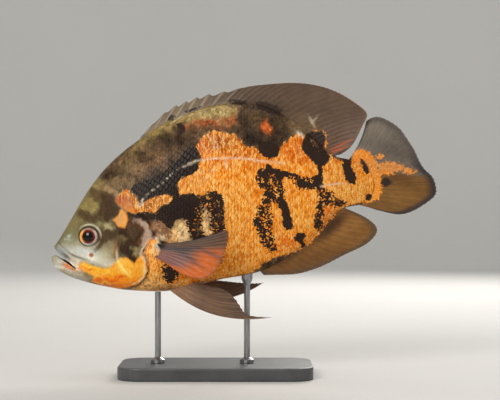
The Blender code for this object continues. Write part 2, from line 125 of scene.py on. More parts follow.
def body_surface(t, a):
    """(u, v, w) at ring t and angle a: 0 on the back, pi under the belly."""
    tu, tv, bu, bv, su, sv, half, up, down = np.moveaxis(spline(KNOTS, np.array(BODY), t), -1, 0)
    f = np.clip((sv - tv) / (bv - tv), 0.0, 0.62)
    mu, mv = tu + (bu - tu) * f, tv + (bv - tv) * f
    c, s = np.cos(a), np.sin(a)
    upper = c >= 0
    n = np.where(upper, up, down)
    ca, sa = np.abs(c) ** (2 / n), np.abs(s) ** (2 / n)
    u = mu + np.where(upper, tu - mu, bu - mu) * ca + (su - mu) * s * s
    v = mv + np.where(upper, tv - mv, bv - mv) * ca + (sv - mv) * s * s
    return u, v, -half * sa * np.sign(s)


def near_line(u, v, line):
    """Distance to a polyline, signed + on its tail side when it runs down,
    and how far along it the nearest point lies (0 to 1)."""
    p = np.asarray(line, float)
    seg = np.linalg.norm(np.diff(p, axis=0), axis=1)
    run = np.concatenate([[0], np.cumsum(seg)])
    best = np.full(np.shape(u), 1e9)
    sign = np.ones(np.shape(u))
    along = np.zeros(np.shape(u))
    for i in range(len(p) - 1):
        d = p[i + 1] - p[i]
        k = np.clip(((u - p[i, 0]) * d[0] + (v - p[i, 1]) * d[1]) / (d @ d), 0, 1)
        ex, ey = u - p[i, 0] - k * d[0], v - p[i, 1] - k * d[1]
        r = np.hypot(ex, ey)
        hit = r < best
        best = np.where(hit, r, best)
        sign = np.where(hit, np.sign(ex * d[1] - ey * d[0]), sign)
        along = np.where(hit, (run[i] + k * seg[i]) / run[-1], along)
    return best * np.where(sign == 0, 1, sign), along


LIP_TOP = smooth_line(((56.8, 240.4), (60, 244.6), (64, 249), (70, 253.8), (76, 256.8), (84, 259.4),
                       (91, 262), (97, 264.4), (102, 266.4)), 26)
LIP_LOW = smooth_line(((52.4, 266), (57.4, 265), (63, 266.2), (69, 268.6), (75, 271.4), (79, 275)), 16)
PREOP = smooth_line(((123, 218), (119, 234), (117, 245), (116.4, 254), (118, 262), (121.4, 267.6),
                     (126, 273), (132, 280.4)), 22)
GILL_LINE = smooth_line(GILL, 60)
MEMBRANE = smooth_line(((88, 281), (99, 285), (110, 286.6), (120, 286.4), (131, 284), (139, 279.6),
                        (145, 273.6)), 22)
JOWL = smooth_line(((88, 268.4), (98, 272.4), (108, 276.4), (118, 278.6), (128, 277)), 14)
EYE_SPOT = (88.7, 236.5)


def seen(u, v, w):
    """Where a point of the flank falls on the side drawing, which was made
    from 1.2 m: near parts of a thick body spread away from its middle."""
    f = 1538.0 / (1538.0 - np.abs(w))
    return 250 + (u - 250) * f, 200 + (v - 200) * f


def relief(u, v, w):
    """Height of the skin's own modelling over the plain loft, in metres."""
    side = ramp(np.abs(w), 2.0, 7.0)
    u, v = seen(u, v, w)
    h = np.zeros(np.shape(u))
    r = np.hypot((u - EYE_SPOT[0]) / 0.96, v - EYE_SPOT[1])
    h = h - 4.2 * (1 - ramp(r, 8.0, 9.7)) * side
    h = h + side * (0.42 * bump1(r, 10.9, 1.25) - 0.22 * bump1(r, 13.6, 1.7) + 0.10 * bump1(r, 16.0, 1.5))
    r = np.hypot(u - 69.2, (v - 238.0) / 1.25)
    h = h + side * (0.30 * bump1(r, 2.0, 0.8) - 0.9 * bump1(r, 0, 0.95))
    head = (u < 165) & (v > 190)
    hh = np.zeros(np.shape(u))
    uu, vv = u[head], v[head]
    if uu.size:
        g = np.zeros(uu.shape)
        d, k = near_line(uu, vv, LIP_TOP)
        fade = 1 - ramp(k, 0.72, 1.0)
        g -= fade * (0.62 * np.exp(-(d / 0.85) ** 2))
        g += fade * (1 - ramp(k, 0.45, 0.7)) * 0.42 * np.exp(-((d + 2.6) / 1.7) ** 2)
        g += fade * 0.20 * np.exp(-((d - 2.4) / 1.6) ** 2)
        d, k = near_line(uu, vv, LIP_LOW)
        fade = 1 - ramp(k, 0.7, 1.0)
        g -= fade * 0.45 * np.exp(-(d / 0.9) ** 2)
        g += fade * 0.26 * np.exp(-((d - 2.4) / 1.6) ** 2)
        d, k = near_line(uu, vv, PREOP)
        fade = ramp(k, 0.0, 0.2) * (1 - ramp(k, 0.85, 1.0))
        g += fade * np.where(d < 0, 0.34 * np.exp(-(d / 4.0) ** 2), 0.34 * np.exp(-(d / 0.7) ** 2)
                             - 0.30 * np.exp(-((d - 1.9) / 1.5) ** 2))
        d, k = near_line(uu, vv, JOWL)
        g -= 0.22 * np.exp(-(d / 1.0) ** 2) * ramp(k, 0, 0.2) * (1 - ramp(k, 0.8, 1))
        d, k = near_line(uu, vv, MEMBRANE)
        g += ramp(k, 0.0, 0.15) * np.where(d < 0, 0.0, 0.0) - ramp(k, 0.0, 0.2) * (1 - ramp(k, 0.9, 1)) * 0.55 * np.exp(-(d / 0.9) ** 2)
        d, k = near_line(uu, vv, GILL_LINE)
        fade = ramp(vv, 199, 214) * (1 - ramp(vv, 286, 292))
        flap = np.where(d < 0, 0.95 * np.exp(d / 7.5), 0.95 * (1 - ramp(d, 0.0, 0.9)) - 0.85 * bump1(d, 1.5, 1.1)
                        - 0.30 * (1 - ramp(d, 1.5, 8.0)) * ramp(d, 0.4, 1.5))
        g += fade * flap
        hh[head] = g
    h = h + hh * side
    # a shallow hollow over the eyes and a fuller brow
    h = h - 0.5 * bump1(u, 100, 14) * bump1(v, 214, 12) * side
    return h * MM


def skin_at(t, a, lift=0.0):
    """Points and outward normals of the modelled skin."""
    u, v, w = body_surface(t, a)
    p = place(u, v, w)
    d, e = 0.05, 2e-3
    p1 = place(*body_surface(t + d, a)) - place(*body_surface(t - d, a))
    p2 = place(*body_surface(t, a + e)) - place(*body_surface(t, a - e))
    n = np.cross(p1, p2)
    n /= np.linalg.norm(n, axis=-1, keepdims=True) + 1e-18
    mid = place(*body_surface(t, np.zeros_like(a))) * 0.5 + place(*body_surface(t, np.zeros_like(a) + np.pi)) * 0.5
    flip = np.sign(np.sum(n * (p - mid), axis=-1, keepdims=True))
    n = n * np.where(flip == 0, 1, flip)
    return u, v, w, p + n * (relief(u, v, w) - COAT + lift)[..., None], n


# --------------------------------------------------------------- mesh tools
def new_mesh(name, verts, quads, smooth=True):
    """A mesh from arrays; quads may repeat a corner to make a triangle."""
    verts = np.asarray(verts, np.float32).reshape(-1, 3)
    quads = np.asarray(quads, np.int64).reshape(-1, 4)
    tri = quads[:, 2] == quads[:, 3]
    faces = [quads[~tri], quads[tri][:, :3]]
    loops = np.concatenate([f.ravel() for f in faces])
    sizes = np.concatenate([np.full(len(faces[0]), 4), np.full(len(faces[1]), 3)])
    start = np.concatenate([[0], np.cumsum(sizes)[:-1]])
    me = bpy.data.meshes.new(name)
    me.vertices.add(len(verts))
    me.vertices.foreach_set("co", verts.ravel())
    me.loops.add(len(loops))
    me.loops.foreach_set("vertex_index", loops.astype(np.int32))
    me.polygons.add(len(sizes))
    me.polygons.foreach_set("loop_start", start.astype(np.int32))
    me.update(calc_edges=True)
    me.validate()
    if smooth:
        me.shade_smooth()
    return me


def loop_verts(me):
    idx = np.empty(len(me.loops), np.int32)
    me.loops.foreach_get("vertex_index", idx)
    return idx


def set_uv(me, per_loop):
    uv = me.uv_layers.new(name="OFBake")
    uv.data.foreach_set("uv", np.asarray(per_loop, np.float32).ravel())


def set_float(me, name, values):
    at = me.attributes.new(name, "FLOAT", "POINT")
    at.data.foreach_set("value", np.asarray(values, np.float32).ravel())


def set_color(me, name, values):
    at = me.attributes.new(name, "FLOAT_COLOR", "POINT")
    rgba = np.ones((len(me.vertices), 4), np.float32)
    rgba[:, :3] = values
    at.data.foreach_set("color", rgba.ravel())


def piece(name, me, mats, body="root"):
    ob = bpy.data.objects.new(name, me)
    bpy.context.scene.collection.objects.link(ob)
    for m in mats if isinstance(mats, (list, tuple)) else [mats]:
        me.materials.append(m)
    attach(ob, body)
    return ob


# ----------------------------------------------------------------- markings
def noise_at(u, v, k, seed):
    """A smooth, repeatable wander from a few crossed sine waves."""
    r = np.random.RandomState(seed)
    z = np.zeros(np.shape(u))
    for _ in range(7):
        ang, f, ph = r.uniform(0, 2 * math.pi), k * r.uniform(0.6, 1.7), r.uniform(0, 2 * math.pi)
        z = z + np.sin(f * (u * math.cos(ang) + v * math.sin(ang)) + ph)
    return z / 3.0


def inside(u, v, poly):
    """Signed distance to a closed outline, + inside."""
    p = np.asarray(poly, float)
    q = np.roll(p, -1, axis=0)
    lo, hi = p.min(0) - 12, p.max(0) + 12
    out = np.full(np.shape(u), -12.0)
    m = (u > lo[0]) & (u < hi[0]) & (v > lo[1]) & (v < hi[1])
    uu, vv = u[m], v[m]
    if not uu.size:
        return out
    best = np.full(uu.shape, 1e9)
    odd = np.zeros(uu.shape, bool)
    for (x0, y0), (x1, y1) in zip(p, q):
        dx, dy = x1 - x0, y1 - y0
        k = np.clip(((uu - x0) * dx + (vv - y0) * dy) / (dx * dx + dy * dy + 1e-12), 0, 1)
        best = np.minimum(best, np.hypot(uu - x0 - k * dx, vv - y0 - k * dy))
        if y0 != y1:
            hit = ((y0 > vv) != (y1 > vv)) & (uu < dx * (vv - y0) / (y1 - y0) + x0)
            odd ^= hit
    out[m] = np.clip(np.where(odd, best, -best), -12, 12)
    return out


def spot(u, v, cu, cv, ru, rv, turn=0.0):
    """Rough signed distance to a tilted oval, + inside."""
    c, s = math.cos(math.radians(turn)), math.sin(math.radians(turn))
    x, y = (u - cu) * c + (v - cv) * s, -(u - cu) * s + (v - cv) * c
    return (1 - np.hypot(x / ru, y / rv)) * min(ru, rv)


def wash(u, v, cu, cv, ru, rv, turn=0.0, hard=2.0):
    """A soft oval from 1 at its middle to 0."""
    c, s = math.cos(math.radians(turn)), math.sin(math.radians(turn))
    x, y = (u - cu) * c + (v - cv) * s, -(u - cu) * s + (v - cv) * c
    return np.exp(-np.hypot(x / ru, y / rv) ** hard)


ORANGE = {
    "flank": ((199, 139), (206, 135), (212, 131), (218, 131), (225, 133), (233, 134), (238, 137), (243, 141),
              (246, 147), (252, 147), (257, 147), (260, 152), (264, 157), (270, 158), (276, 157), (279, 150),
              (283, 144), (288, 141), (291, 137.4), (295, 134), (301, 135), (305, 140), (306, 147), (311, 150),
              (318, 152), (324, 154), (331, 157), (341, 160), (350, 158), (353, 153), (358, 149), (364, 148.5),
              (369, 152), (374, 158), (378, 163), (380, 172), (382.5, 182), (381.5, 192), (379, 199), (371, 202),
              (362, 203), (350, 205), (343, 209), (336, 213), (333, 217), (328, 222), (321, 230), (315, 238),
              (308, 245), (300, 250), (290, 254), (278, 257), (266, 262), (254, 272), (240, 277), (215, 281),
              (196, 284), (184, 286), (179, 281), (180, 270), (200, 268), (222, 262), (226, 244), (224, 232),
              (225, 222), (224, 214), (224, 206), (221, 198), (222, 192), (216, 195), (209, 192), (203, 196),
              (196, 196), (190, 192), (183, 196), (179, 194), (178, 186), (179, 179), (185, 177), (192, 174),
              (198, 169), (198, 163), (202, 160), (200, 156), (197, 151), (198, 145)),
    "low": ((146, 247), (148, 241), (153, 239), (158, 241), (154, 246), (157, 252), (163, 258), (168, 263),
            (176, 266), (182, 270), (182, 282), (176, 284), (166, 284), (158, 281), (151, 282), (147, 278),
            (148.5, 270), (147.4, 262), (144.6, 254)),
    "finger": ((139, 206), (142, 202), (148, 199), (156, 196.5), (164, 194.6), (170, 194.6), (173.6, 198),
               (171.6, 203), (166, 204), (160, 206), (158.4, 210), (156, 213.6), (150, 212.6), (144, 211.4),
               (138, 213), (133, 213.6), (130, 211.6), (134, 208)),
    "shoulder": ((115.5, 200), (118, 195), (122, 192), (126, 188.5), (129, 190), (132, 194), (136, 197),
                 (139.6, 202), (138, 207), (136, 211.6), (131, 212.6), (127, 210.6), (123, 208.6), (118.6, 204.6)),
    "temple": ((113, 220), (117.4, 216.4), (120.6, 210), (124.6, 211), (127.6, 216), (127, 222), (125, 227.6),
               (118.6, 226.6)),
    "jowl": ((79, 266), (83, 261.6), (90, 265), (100, 268), (108, 269), (112, 266), (117, 261), (121, 257.6),
             (128, 258.6), (132, 262), (134, 264.6), (137.6, 258.6), (142.4, 254), (146, 262), (147.6, 270),
             (145, 277), (138, 282.6), (130, 286), (120, 289), (108, 288), (98, 285), (91.4, 282), (94, 277),
             (88, 273.6), (82, 270.4)),
}
BLACK = {
    "diagonal": ((130, 190), (134, 184), (141, 182), (146, 179), (152, 179), (158, 174), (164, 172), (168, 167),
                 (175, 163), (180, 157), (186, 150), (193, 147), (198, 150), (201.4, 158.6), (199, 163), (198, 169),
                 (193, 173.4), (187, 175.6), (181, 177), (178.4, 181), (176, 184), (178, 189), (179, 195),
                 (176, 197), (172, 194), (166, 193.6), (158, 195.4), (150, 198), (144, 202), (140.4, 204.6),
                 (138, 199), (135, 194)),
    "wide": ((127, 211.4), (131, 213.6), (136, 215), (142, 212.6), (150, 213.4), (157, 214.6), (159.4, 208.6),
             (163, 206), (169, 204), (173, 199), (175.6, 196.4), (181, 195.4), (187, 195), (193, 192.6), (197, 197),
             (202, 197.4), (206.4, 197), (208.4, 204), (204, 209), (201.6, 214), (200.4, 222), (200.8, 230),
             (204, 235), (208.4, 240.4), (200, 243), (192.6, 242), (190.6, 233), (188, 226), (186, 219.6),
             (180, 218), (176, 220.6), (174, 225), (171, 229.6), (166, 226), (161, 222), (154, 219.6), (147, 220),
             (143.4, 217.6), (136, 218), (130, 215.6)),
    "column": ((208.6, 194), (214, 190.6), (218, 194), (222, 196), (223, 204), (224.4, 212), (223.4, 220),
               (224.4, 228), (222, 233), (217, 238), (212, 239.6), (213, 232), (211.4, 224), (211, 216),
               (208.6, 208), (207.6, 200)),
    "rear": ((258, 172), (261, 169), (265, 168), (268, 162.6), (271, 166), (276, 168.6), (283, 170.4), (290, 172),
             (297, 174.6), (304, 178), (311, 178.4), (317, 175), (322, 180), (321, 188), (315, 187), (310, 190),
             (302, 189.6), (297.6, 187), (296, 182), (292, 178), (286, 176), (283, 178), (282.6, 186), (284, 194),
             (286.6, 203), (289.4, 212), (292.4, 220), (293.4, 229), (287, 230.4), (283, 226), (283, 217),
             (281, 209), (277, 203), (273, 200.6), (270.6, 204), (269, 211), (271.4, 219), (272, 228), (272, 236),
             (275, 243), (278, 251), (272, 252), (266, 247), (262, 241), (259, 232), (254, 224), (254, 220),
             (258, 216), (258, 208), (263.4, 205), (264.4, 196), (265, 189), (259.6, 186), (257, 179)),
    "third": ((316.4, 206), (319, 201), (323.4, 203), (323.4, 212), (322.4, 220), (322.4, 228), (318, 230.6),
              (314, 226.6), (315, 218), (317.4, 211)),
    "thin": ((317, 160), (323, 160), (322.6, 170), (322.8, 178), (323, 190), (316.6, 190), (318.4, 178), (318, 170)),
    "blotch": ((293.6, 238), (298, 233), (304.6, 232.6), (307, 236), (303.6, 240), (306.6, 246), (302, 248),
               (299, 243), (295, 242)),
    "chain": ((318, 187), (325, 189), (328, 193), (331, 193), (335, 198.6), (340, 200), (346, 203),
              (341, 207), (333, 205.6), (326, 203.4), (321.6, 200), (318, 193)),
    "patch": ((302.6, 140), (306, 134.6), (311, 131), (314.6, 134), (320, 134.6), (323.6, 138), (322.6, 144),
              (325, 149), (327.6, 153), (330.6, 158), (327, 162.6), (322, 169), (317.6, 166), (313, 160.4),
              (308, 157), (304, 152), (301.4, 146)),
    "bar": ((342.6, 158), (351.6, 157), (351.6, 165), (353.6, 171), (356.6, 177), (355.6, 183.6), (350, 184),
            (346, 178.6), (343.6, 171), (342.4, 165)),
    "bridge": ((312, 132), (322, 131), (325.6, 139), (324, 146), (318, 150), (311, 147)),
    "small": ((360, 158.6), (363, 159.6), (367.6, 165), (369.4, 172), (366.4, 174.6), (363, 169), (361, 164)),
    "pepper": ((162, 267.6), (168, 265), (175, 267), (179, 272), (177, 279), (172, 283.6), (166, 282), (163, 276)),
    "back": ((177, 124), (180, 121.6), (184, 124), (186, 129), (183, 133), (178, 129)),
}
SADDLE = ((238, 112), (243, 104), (252, 101), (264, 102), (276, 107), (288, 114), (292, 122), (292, 131),
          (289, 139), (284, 144), (280, 149), (277, 156), (270, 158), (264, 156), (260, 150), (256, 147),
          (250, 147), (245, 143), (240, 137), (236.6, 128), (239, 119))
# darker and paler clouds of the head, each with its colour and strength
CLOUDS = (
    (((118, 176), (132, 180), (140, 190), (132, 192), (124, 186), (116, 190), (108, 186), (110, 178)), (0.53, 0.465, 0.375), 0.7),
    (((91, 188), (102, 189), (104, 197), (98, 202), (90, 199), (88, 193)), (0.36, 0.30, 0.22), 0.9),
    (((84, 199), (92, 198), (96, 204), (92, 211), (84, 212), (78, 208)), (0.60, 0.565, 0.39), 0.8),
    (((105, 187), (112, 188), (118, 196), (124, 206), (122, 214), (117, 209), (114, 199), (106, 192)), (0.64, 0.56, 0.46), 0.85),
    (((101, 196), (106, 191), (112, 193), (117, 199), (119, 208), (118, 216), (112, 220), (104, 219.6), (99, 213), (99, 203)),
     (0.275, 0.212, 0.155), 0.92),
    (((77, 210), (85, 211), (93, 216), (101, 215), (101, 222), (92, 223), (83, 220), (76, 216)), (0.33, 0.275, 0.205), 0.9),
    (((97, 227.6), (104, 226.6), (112, 231), (118.6, 228), (119.4, 235), (114, 239.6), (106.4, 240.4), (103, 244),
      (103.4, 250.4), (97, 251.6), (92, 248.4), (96.4, 242.4), (99, 235)), (0.31, 0.255, 0.185), 0.92),
    (((104.6, 242), (111, 241), (116, 244), (115, 252), (108, 256), (103.6, 252)), (0.60, 0.585, 0.50), 0.85),
    (((117, 217), (128, 213), (138, 217.6), (143, 228), (142.4, 237), (138, 242), (136.6, 247), (139.6, 255), (135, 264),
      (128, 259), (119.6, 251), (118, 244), (123.6, 241.6), (127, 237), (119, 235), (116, 226)), (0.225, 0.17, 0.13), 1.0),
    (((128, 222), (137, 223), (140, 231), (136, 238), (130, 236), (127, 229)), (0.34, 0.275, 0.205), 0.8),
    (((103.6, 224), (109, 222.4), (113.4, 226), (111, 230), (104.6, 230)), (0.72, 0.70, 0.58), 1.0),
    (((132, 249), (137, 247.6), (139.6, 252), (136.4, 256), (132, 254)), (0.62, 0.58, 0.46), 0.95),
    (((70, 219), (80, 214), (78, 224), (68, 230), (64, 230)), (0.49, 0.455, 0.33), 0.6),
)
LATERAL = smooth_line(((138.5, 206), (144, 198), (152, 190.5), (160, 184.5), (165, 180), (170, 175.5), (175, 171),
                       (180, 168), (188, 164.6), (196, 161), (204, 159.6), (214, 158.4), (230, 158), (242, 158.4),
                       (252, 159.6), (262, 161), (272, 162), (284, 163)), 60)
LATERAL_2 = smooth_line(((321, 186.6), (330, 184.8), (340, 183.4), (350, 183.4), (360, 184)), 14)


def lin(c):
    c = np.asarray(c, float)
    return np.where(c <= 0.04045, c / 12.92, ((c + 0.055) / 1.055) ** 2.4)


def over(base, color, k):
    k = np.clip(k, 0, 1)[..., None]
    return base * (1 - k) + np.asarray(color) * k


def markings(u, v, w):
    """Fields of the coat at points of the drawing; w > 0 is the right flank,
    whose patches are shifted and bent so that it is no mirror image."""
    u, v = seen(u, v, w)
    right = ramp(w, 1.0, 12.0)
    keep = 1 - 0.9 * (1 - ramp(u, 100, 150))
    du = right * keep * (9.0 + 10.0 * noise_at(u, v, 0.030, 5) + 4.0 * noise_at(u, v, 0.09, 6))
    dv = right * keep * (-4.0 + 9.0 * noise_at(u, v, 0.034, 7) + 4.0 * noise_at(u, v, 0.10, 8))
    U, V = u + du, v + dv
    o = np.full(np.shape(u), -12.0)
    for poly in ORANGE.values():
        o = np.maximum(o, inside(U, V, poly))
    # the right flank stays orange down to the root of the anal fin
    o = np.maximum(o, np.where(w > 4, spot(u, v, 302, 238, 30, 13, -38), -12.0))
    b = np.full(np.shape(u), -12.0)
    for poly in BLACK.values():
        b = np.maximum(b, inside(U, V, poly))
    for q in ((171.4, 118.2, 3.4, 2.2, -20), (193.6, 109.4, 5.6, 1.5, -18), (238, 102, 7, 2.4, 4),
              (386, 182, 5.0, 4.4, 0), (369, 197, 3.0, 3.6, 0), (269, 108, 14, 4.4, 20), (262, 106, 6, 3, 0),
              (276, 111, 6, 3.4, 20)):
        b = np.maximum(b, spot(U, V, *q))
    for q in ((315, 143.6, 2.2, 5.0, -38), (271, 181, 1.9, 4.4, 6), (276.5, 191, 1.7, 5.0, -14),
              (264, 222, 1.6, 4.0, 0), (268, 233, 1.7, 4.0, -10), (267, 211, 1.4, 4.6, 8), (271, 243, 1.6, 3.0, -20),
              (262.6, 180, 1.3, 2.0, 0), (312, 181, 1.2, 1.4, 0), (288, 206, 1.1, 3.0, -14), (322.6, 193, 1.2, 2.2, -30),
              (332, 200, 2.2, 1.2, 20), (202, 206, 1.2, 2.6, 0), (198, 213, 1.1, 2.2, 0), (217, 206, 1.2, 2.6, 0),
              (219, 216, 1.3, 2.6, 0), (216, 226, 1.2, 2.8, 0), (196, 226, 1.2, 2.4, 0), (198, 234, 1.2, 2.2, 0)):
        b = np.minimum(b, -spot(U, V, *q))
    saddle = inside(U, V, SADDLE)
    # tail streak, its flecks, and streaks on the hind lobe of the back fin
    for q in ((392, 166.6, 17, 4.4, 6), (408, 170.6, 8, 3.0, 12), (380, 157, 4.4, 2.6, -10), (386, 171, 9, 4, 0)):
        o = np.maximum(o, spot(U, V, *q))
    for q in ((324.6, 141, 1.7, 8, -8), (318, 133, 6, 1.5, 32), (326, 154, 4, 1.5, 30), (303, 140, 3, 5, 0)):
        o = np.maximum(o, spot(U, V, *q))
    # ground tones, their edges ragged rather than brushed
    U0, V0 = U, V
    U = U + 1.5 * noise_at(U0, V0, 0.50, 51) + 0.7 * noise_at(U0, V0, 1.15, 52)
    V = V + 1.5 * noise_at(U0, V0, 0.46, 53) + 0.7 * noise_at(U0, V0, 1.25, 54)
    g = np.zeros(np.shape(u) + (3,)) + lin((0.385, 0.315, 0.26))
    brown, dark, khaki, pale = lin((0.40, 0.335, 0.27)), lin((0.21, 0.175, 0.15)), lin((0.60, 0.55, 0.38)), lin((0.72, 0.67, 0.51))
    k = ramp(noise_at(U, V, 0.16, 21), -0.7, 0.9)
    g = g * (0.80 + 0.38 * k)[..., None]
    blot = noise_at(U, V, 0.30, 23)
    for cu, cv, ru, rv, turn, col, s in (
            (150, 155, 12, 9, 0, (0.55, 0.45, 0.34), 0.55), (156, 165, 8, 6, 0, (0.60, 0.47, 0.36), 0.55),
            (172, 150, 12, 8, 0, (0.46, 0.37, 0.28), 0.5), (188, 143, 9, 7, 0, (0.42, 0.36, 0.29), 0.5),
            (180, 142, 26, 11, -32, (0.24, 0.185, 0.15), 0.85), (150, 176, 20, 7, -25, (0.24, 0.19, 0.165), 0.7),
            (164, 131, 14, 5, -36, (0.26, 0.21, 0.17), 0.75), (150, 148, 7, 5, 0, (0.27, 0.22, 0.18), 0.7),
            (134, 158, 6, 5, 0, (0.52, 0.42, 0.32), 0.6), (146, 163, 7, 4, 0, (0.56, 0.43, 0.33), 0.6),
            (158, 138, 7, 5, 20, (0.27, 0.22, 0.19), 0.7), (186, 152, 9, 6, -20, (0.27, 0.22, 0.20), 0.8),
            (176, 160, 7, 5, -20, (0.27, 0.22, 0.20), 0.7), (148, 181, 12, 6, -20, (0.25, 0.21, 0.20), 0.8),
            (175, 127, 9, 6, 0, (0.27, 0.22, 0.19), 0.8), (168, 136, 12, 6, -20, (0.30, 0.25, 0.21), 0.6),
            (135, 165, 10, 12, 0, (0.44, 0.38, 0.30), 0.5), (124, 170, 10, 14, 20, (0.40, 0.36, 0.28), 0.6),
            (140, 150, 10, 6, -35, (0.33, 0.28, 0.23), 0.5), (197, 130, 12, 4, 6, (0.30, 0.25, 0.20), 0.6),
            (150, 172, 8, 6, 0, (0.33, 0.27, 0.23), 0.5)):
        g = over(g, lin(col), s * wash(U, V, cu, cv, ru, rv, turn))
    g = g * (1 + 0.50 * np.clip(blot, -1, 1))[..., None]
    # khaki under the back fin
    band = near_line(U, V, smooth_line(((118, 160), (136, 144), (152, 132.6), (168, 124), (184, 118.6), (200, 114),
                                        (216, 111.4), (230, 112)), 30))[0]
    g = over(g, khaki, 0.85 * np.exp(-(band / 5.6) ** 2) * ramp(U, 118, 150) * (1 - ramp(U, 232, 238)))
    g = over(g, pale, 0.9 * np.maximum(wash(U, V, 206, 114, 24, 7, -9, 3), wash(U, V, 224, 114, 13, 10, 0, 3)))
    g = over(g, lin((0.66, 0.42, 0.27)), 0.6 * wash(U, V, 212, 122.6, 26, 5.0, -3, 3))
    for cu, cv, ru, rv in ((206, 122.6, 3.4, 2.0), (213, 122, 4, 2.6), (225, 119, 4, 2.2), (229, 123, 3, 3),
                           (234, 118, 4, 5), (199, 121, 5, 2), (186, 126, 3, 2), (219, 128, 5, 2.4)):
        g = over(g, lin((0.62, 0.29, 0.15)), 0.75 * wash(U, V, cu, cv, ru, rv))
    g = over(g, lin((0.42, 0.33, 0.26)), 0.7 * wash(U, V, 214, 128.6, 22, 3.4, 0, 3))
    # the flank in front of the pale gap, and the cream gap itself
    g = over(g, lin((0.60, 0.48, 0.40)), 0.95 * wash(U, V, 161, 231, 14, 11, 20, 4))
    g = over(g, lin((0.52, 0.38, 0.33)), 0.5 * wash(U, V, 156, 226, 5, 4))
    g = over(g, lin((0.93, 0.80, 0.60)), 1.0 * wash(U, V, 182, 234, 10, 13, -10, 4))
    g = over(g, lin((0.95, 0.76, 0.50)), 1.0 * wash(U, V, 207, 226, 5.6, 17, -6, 4))
    g = over(g, lin((0.80, 0.62, 0.45)), 0.9 * wash(U, V, 168, 240, 9, 5, 10, 3))
    g = over(g, lin((0.90, 0.68, 0.48)), 0.9 * wash(U, V, 157, 258, 9, 9, 40, 3))
    g = over(g, lin((0.93, 0.74, 0.50)), 0.97 * ramp(V, 276, 282) * ramp(U, 128, 140) * (1 - ramp(U, 196, 216)))
    g = over(g, lin((0.84, 0.62, 0.40)), 0.97 * ramp(V, 272, 280) * ramp(U, 196, 216) * (1 - ramp(U, 255, 275)))
    g = over(g, lin((0.56, 0.42, 0.32)), 0.7 * wash(U, V, 170, 289, 14, 4, 0, 4))
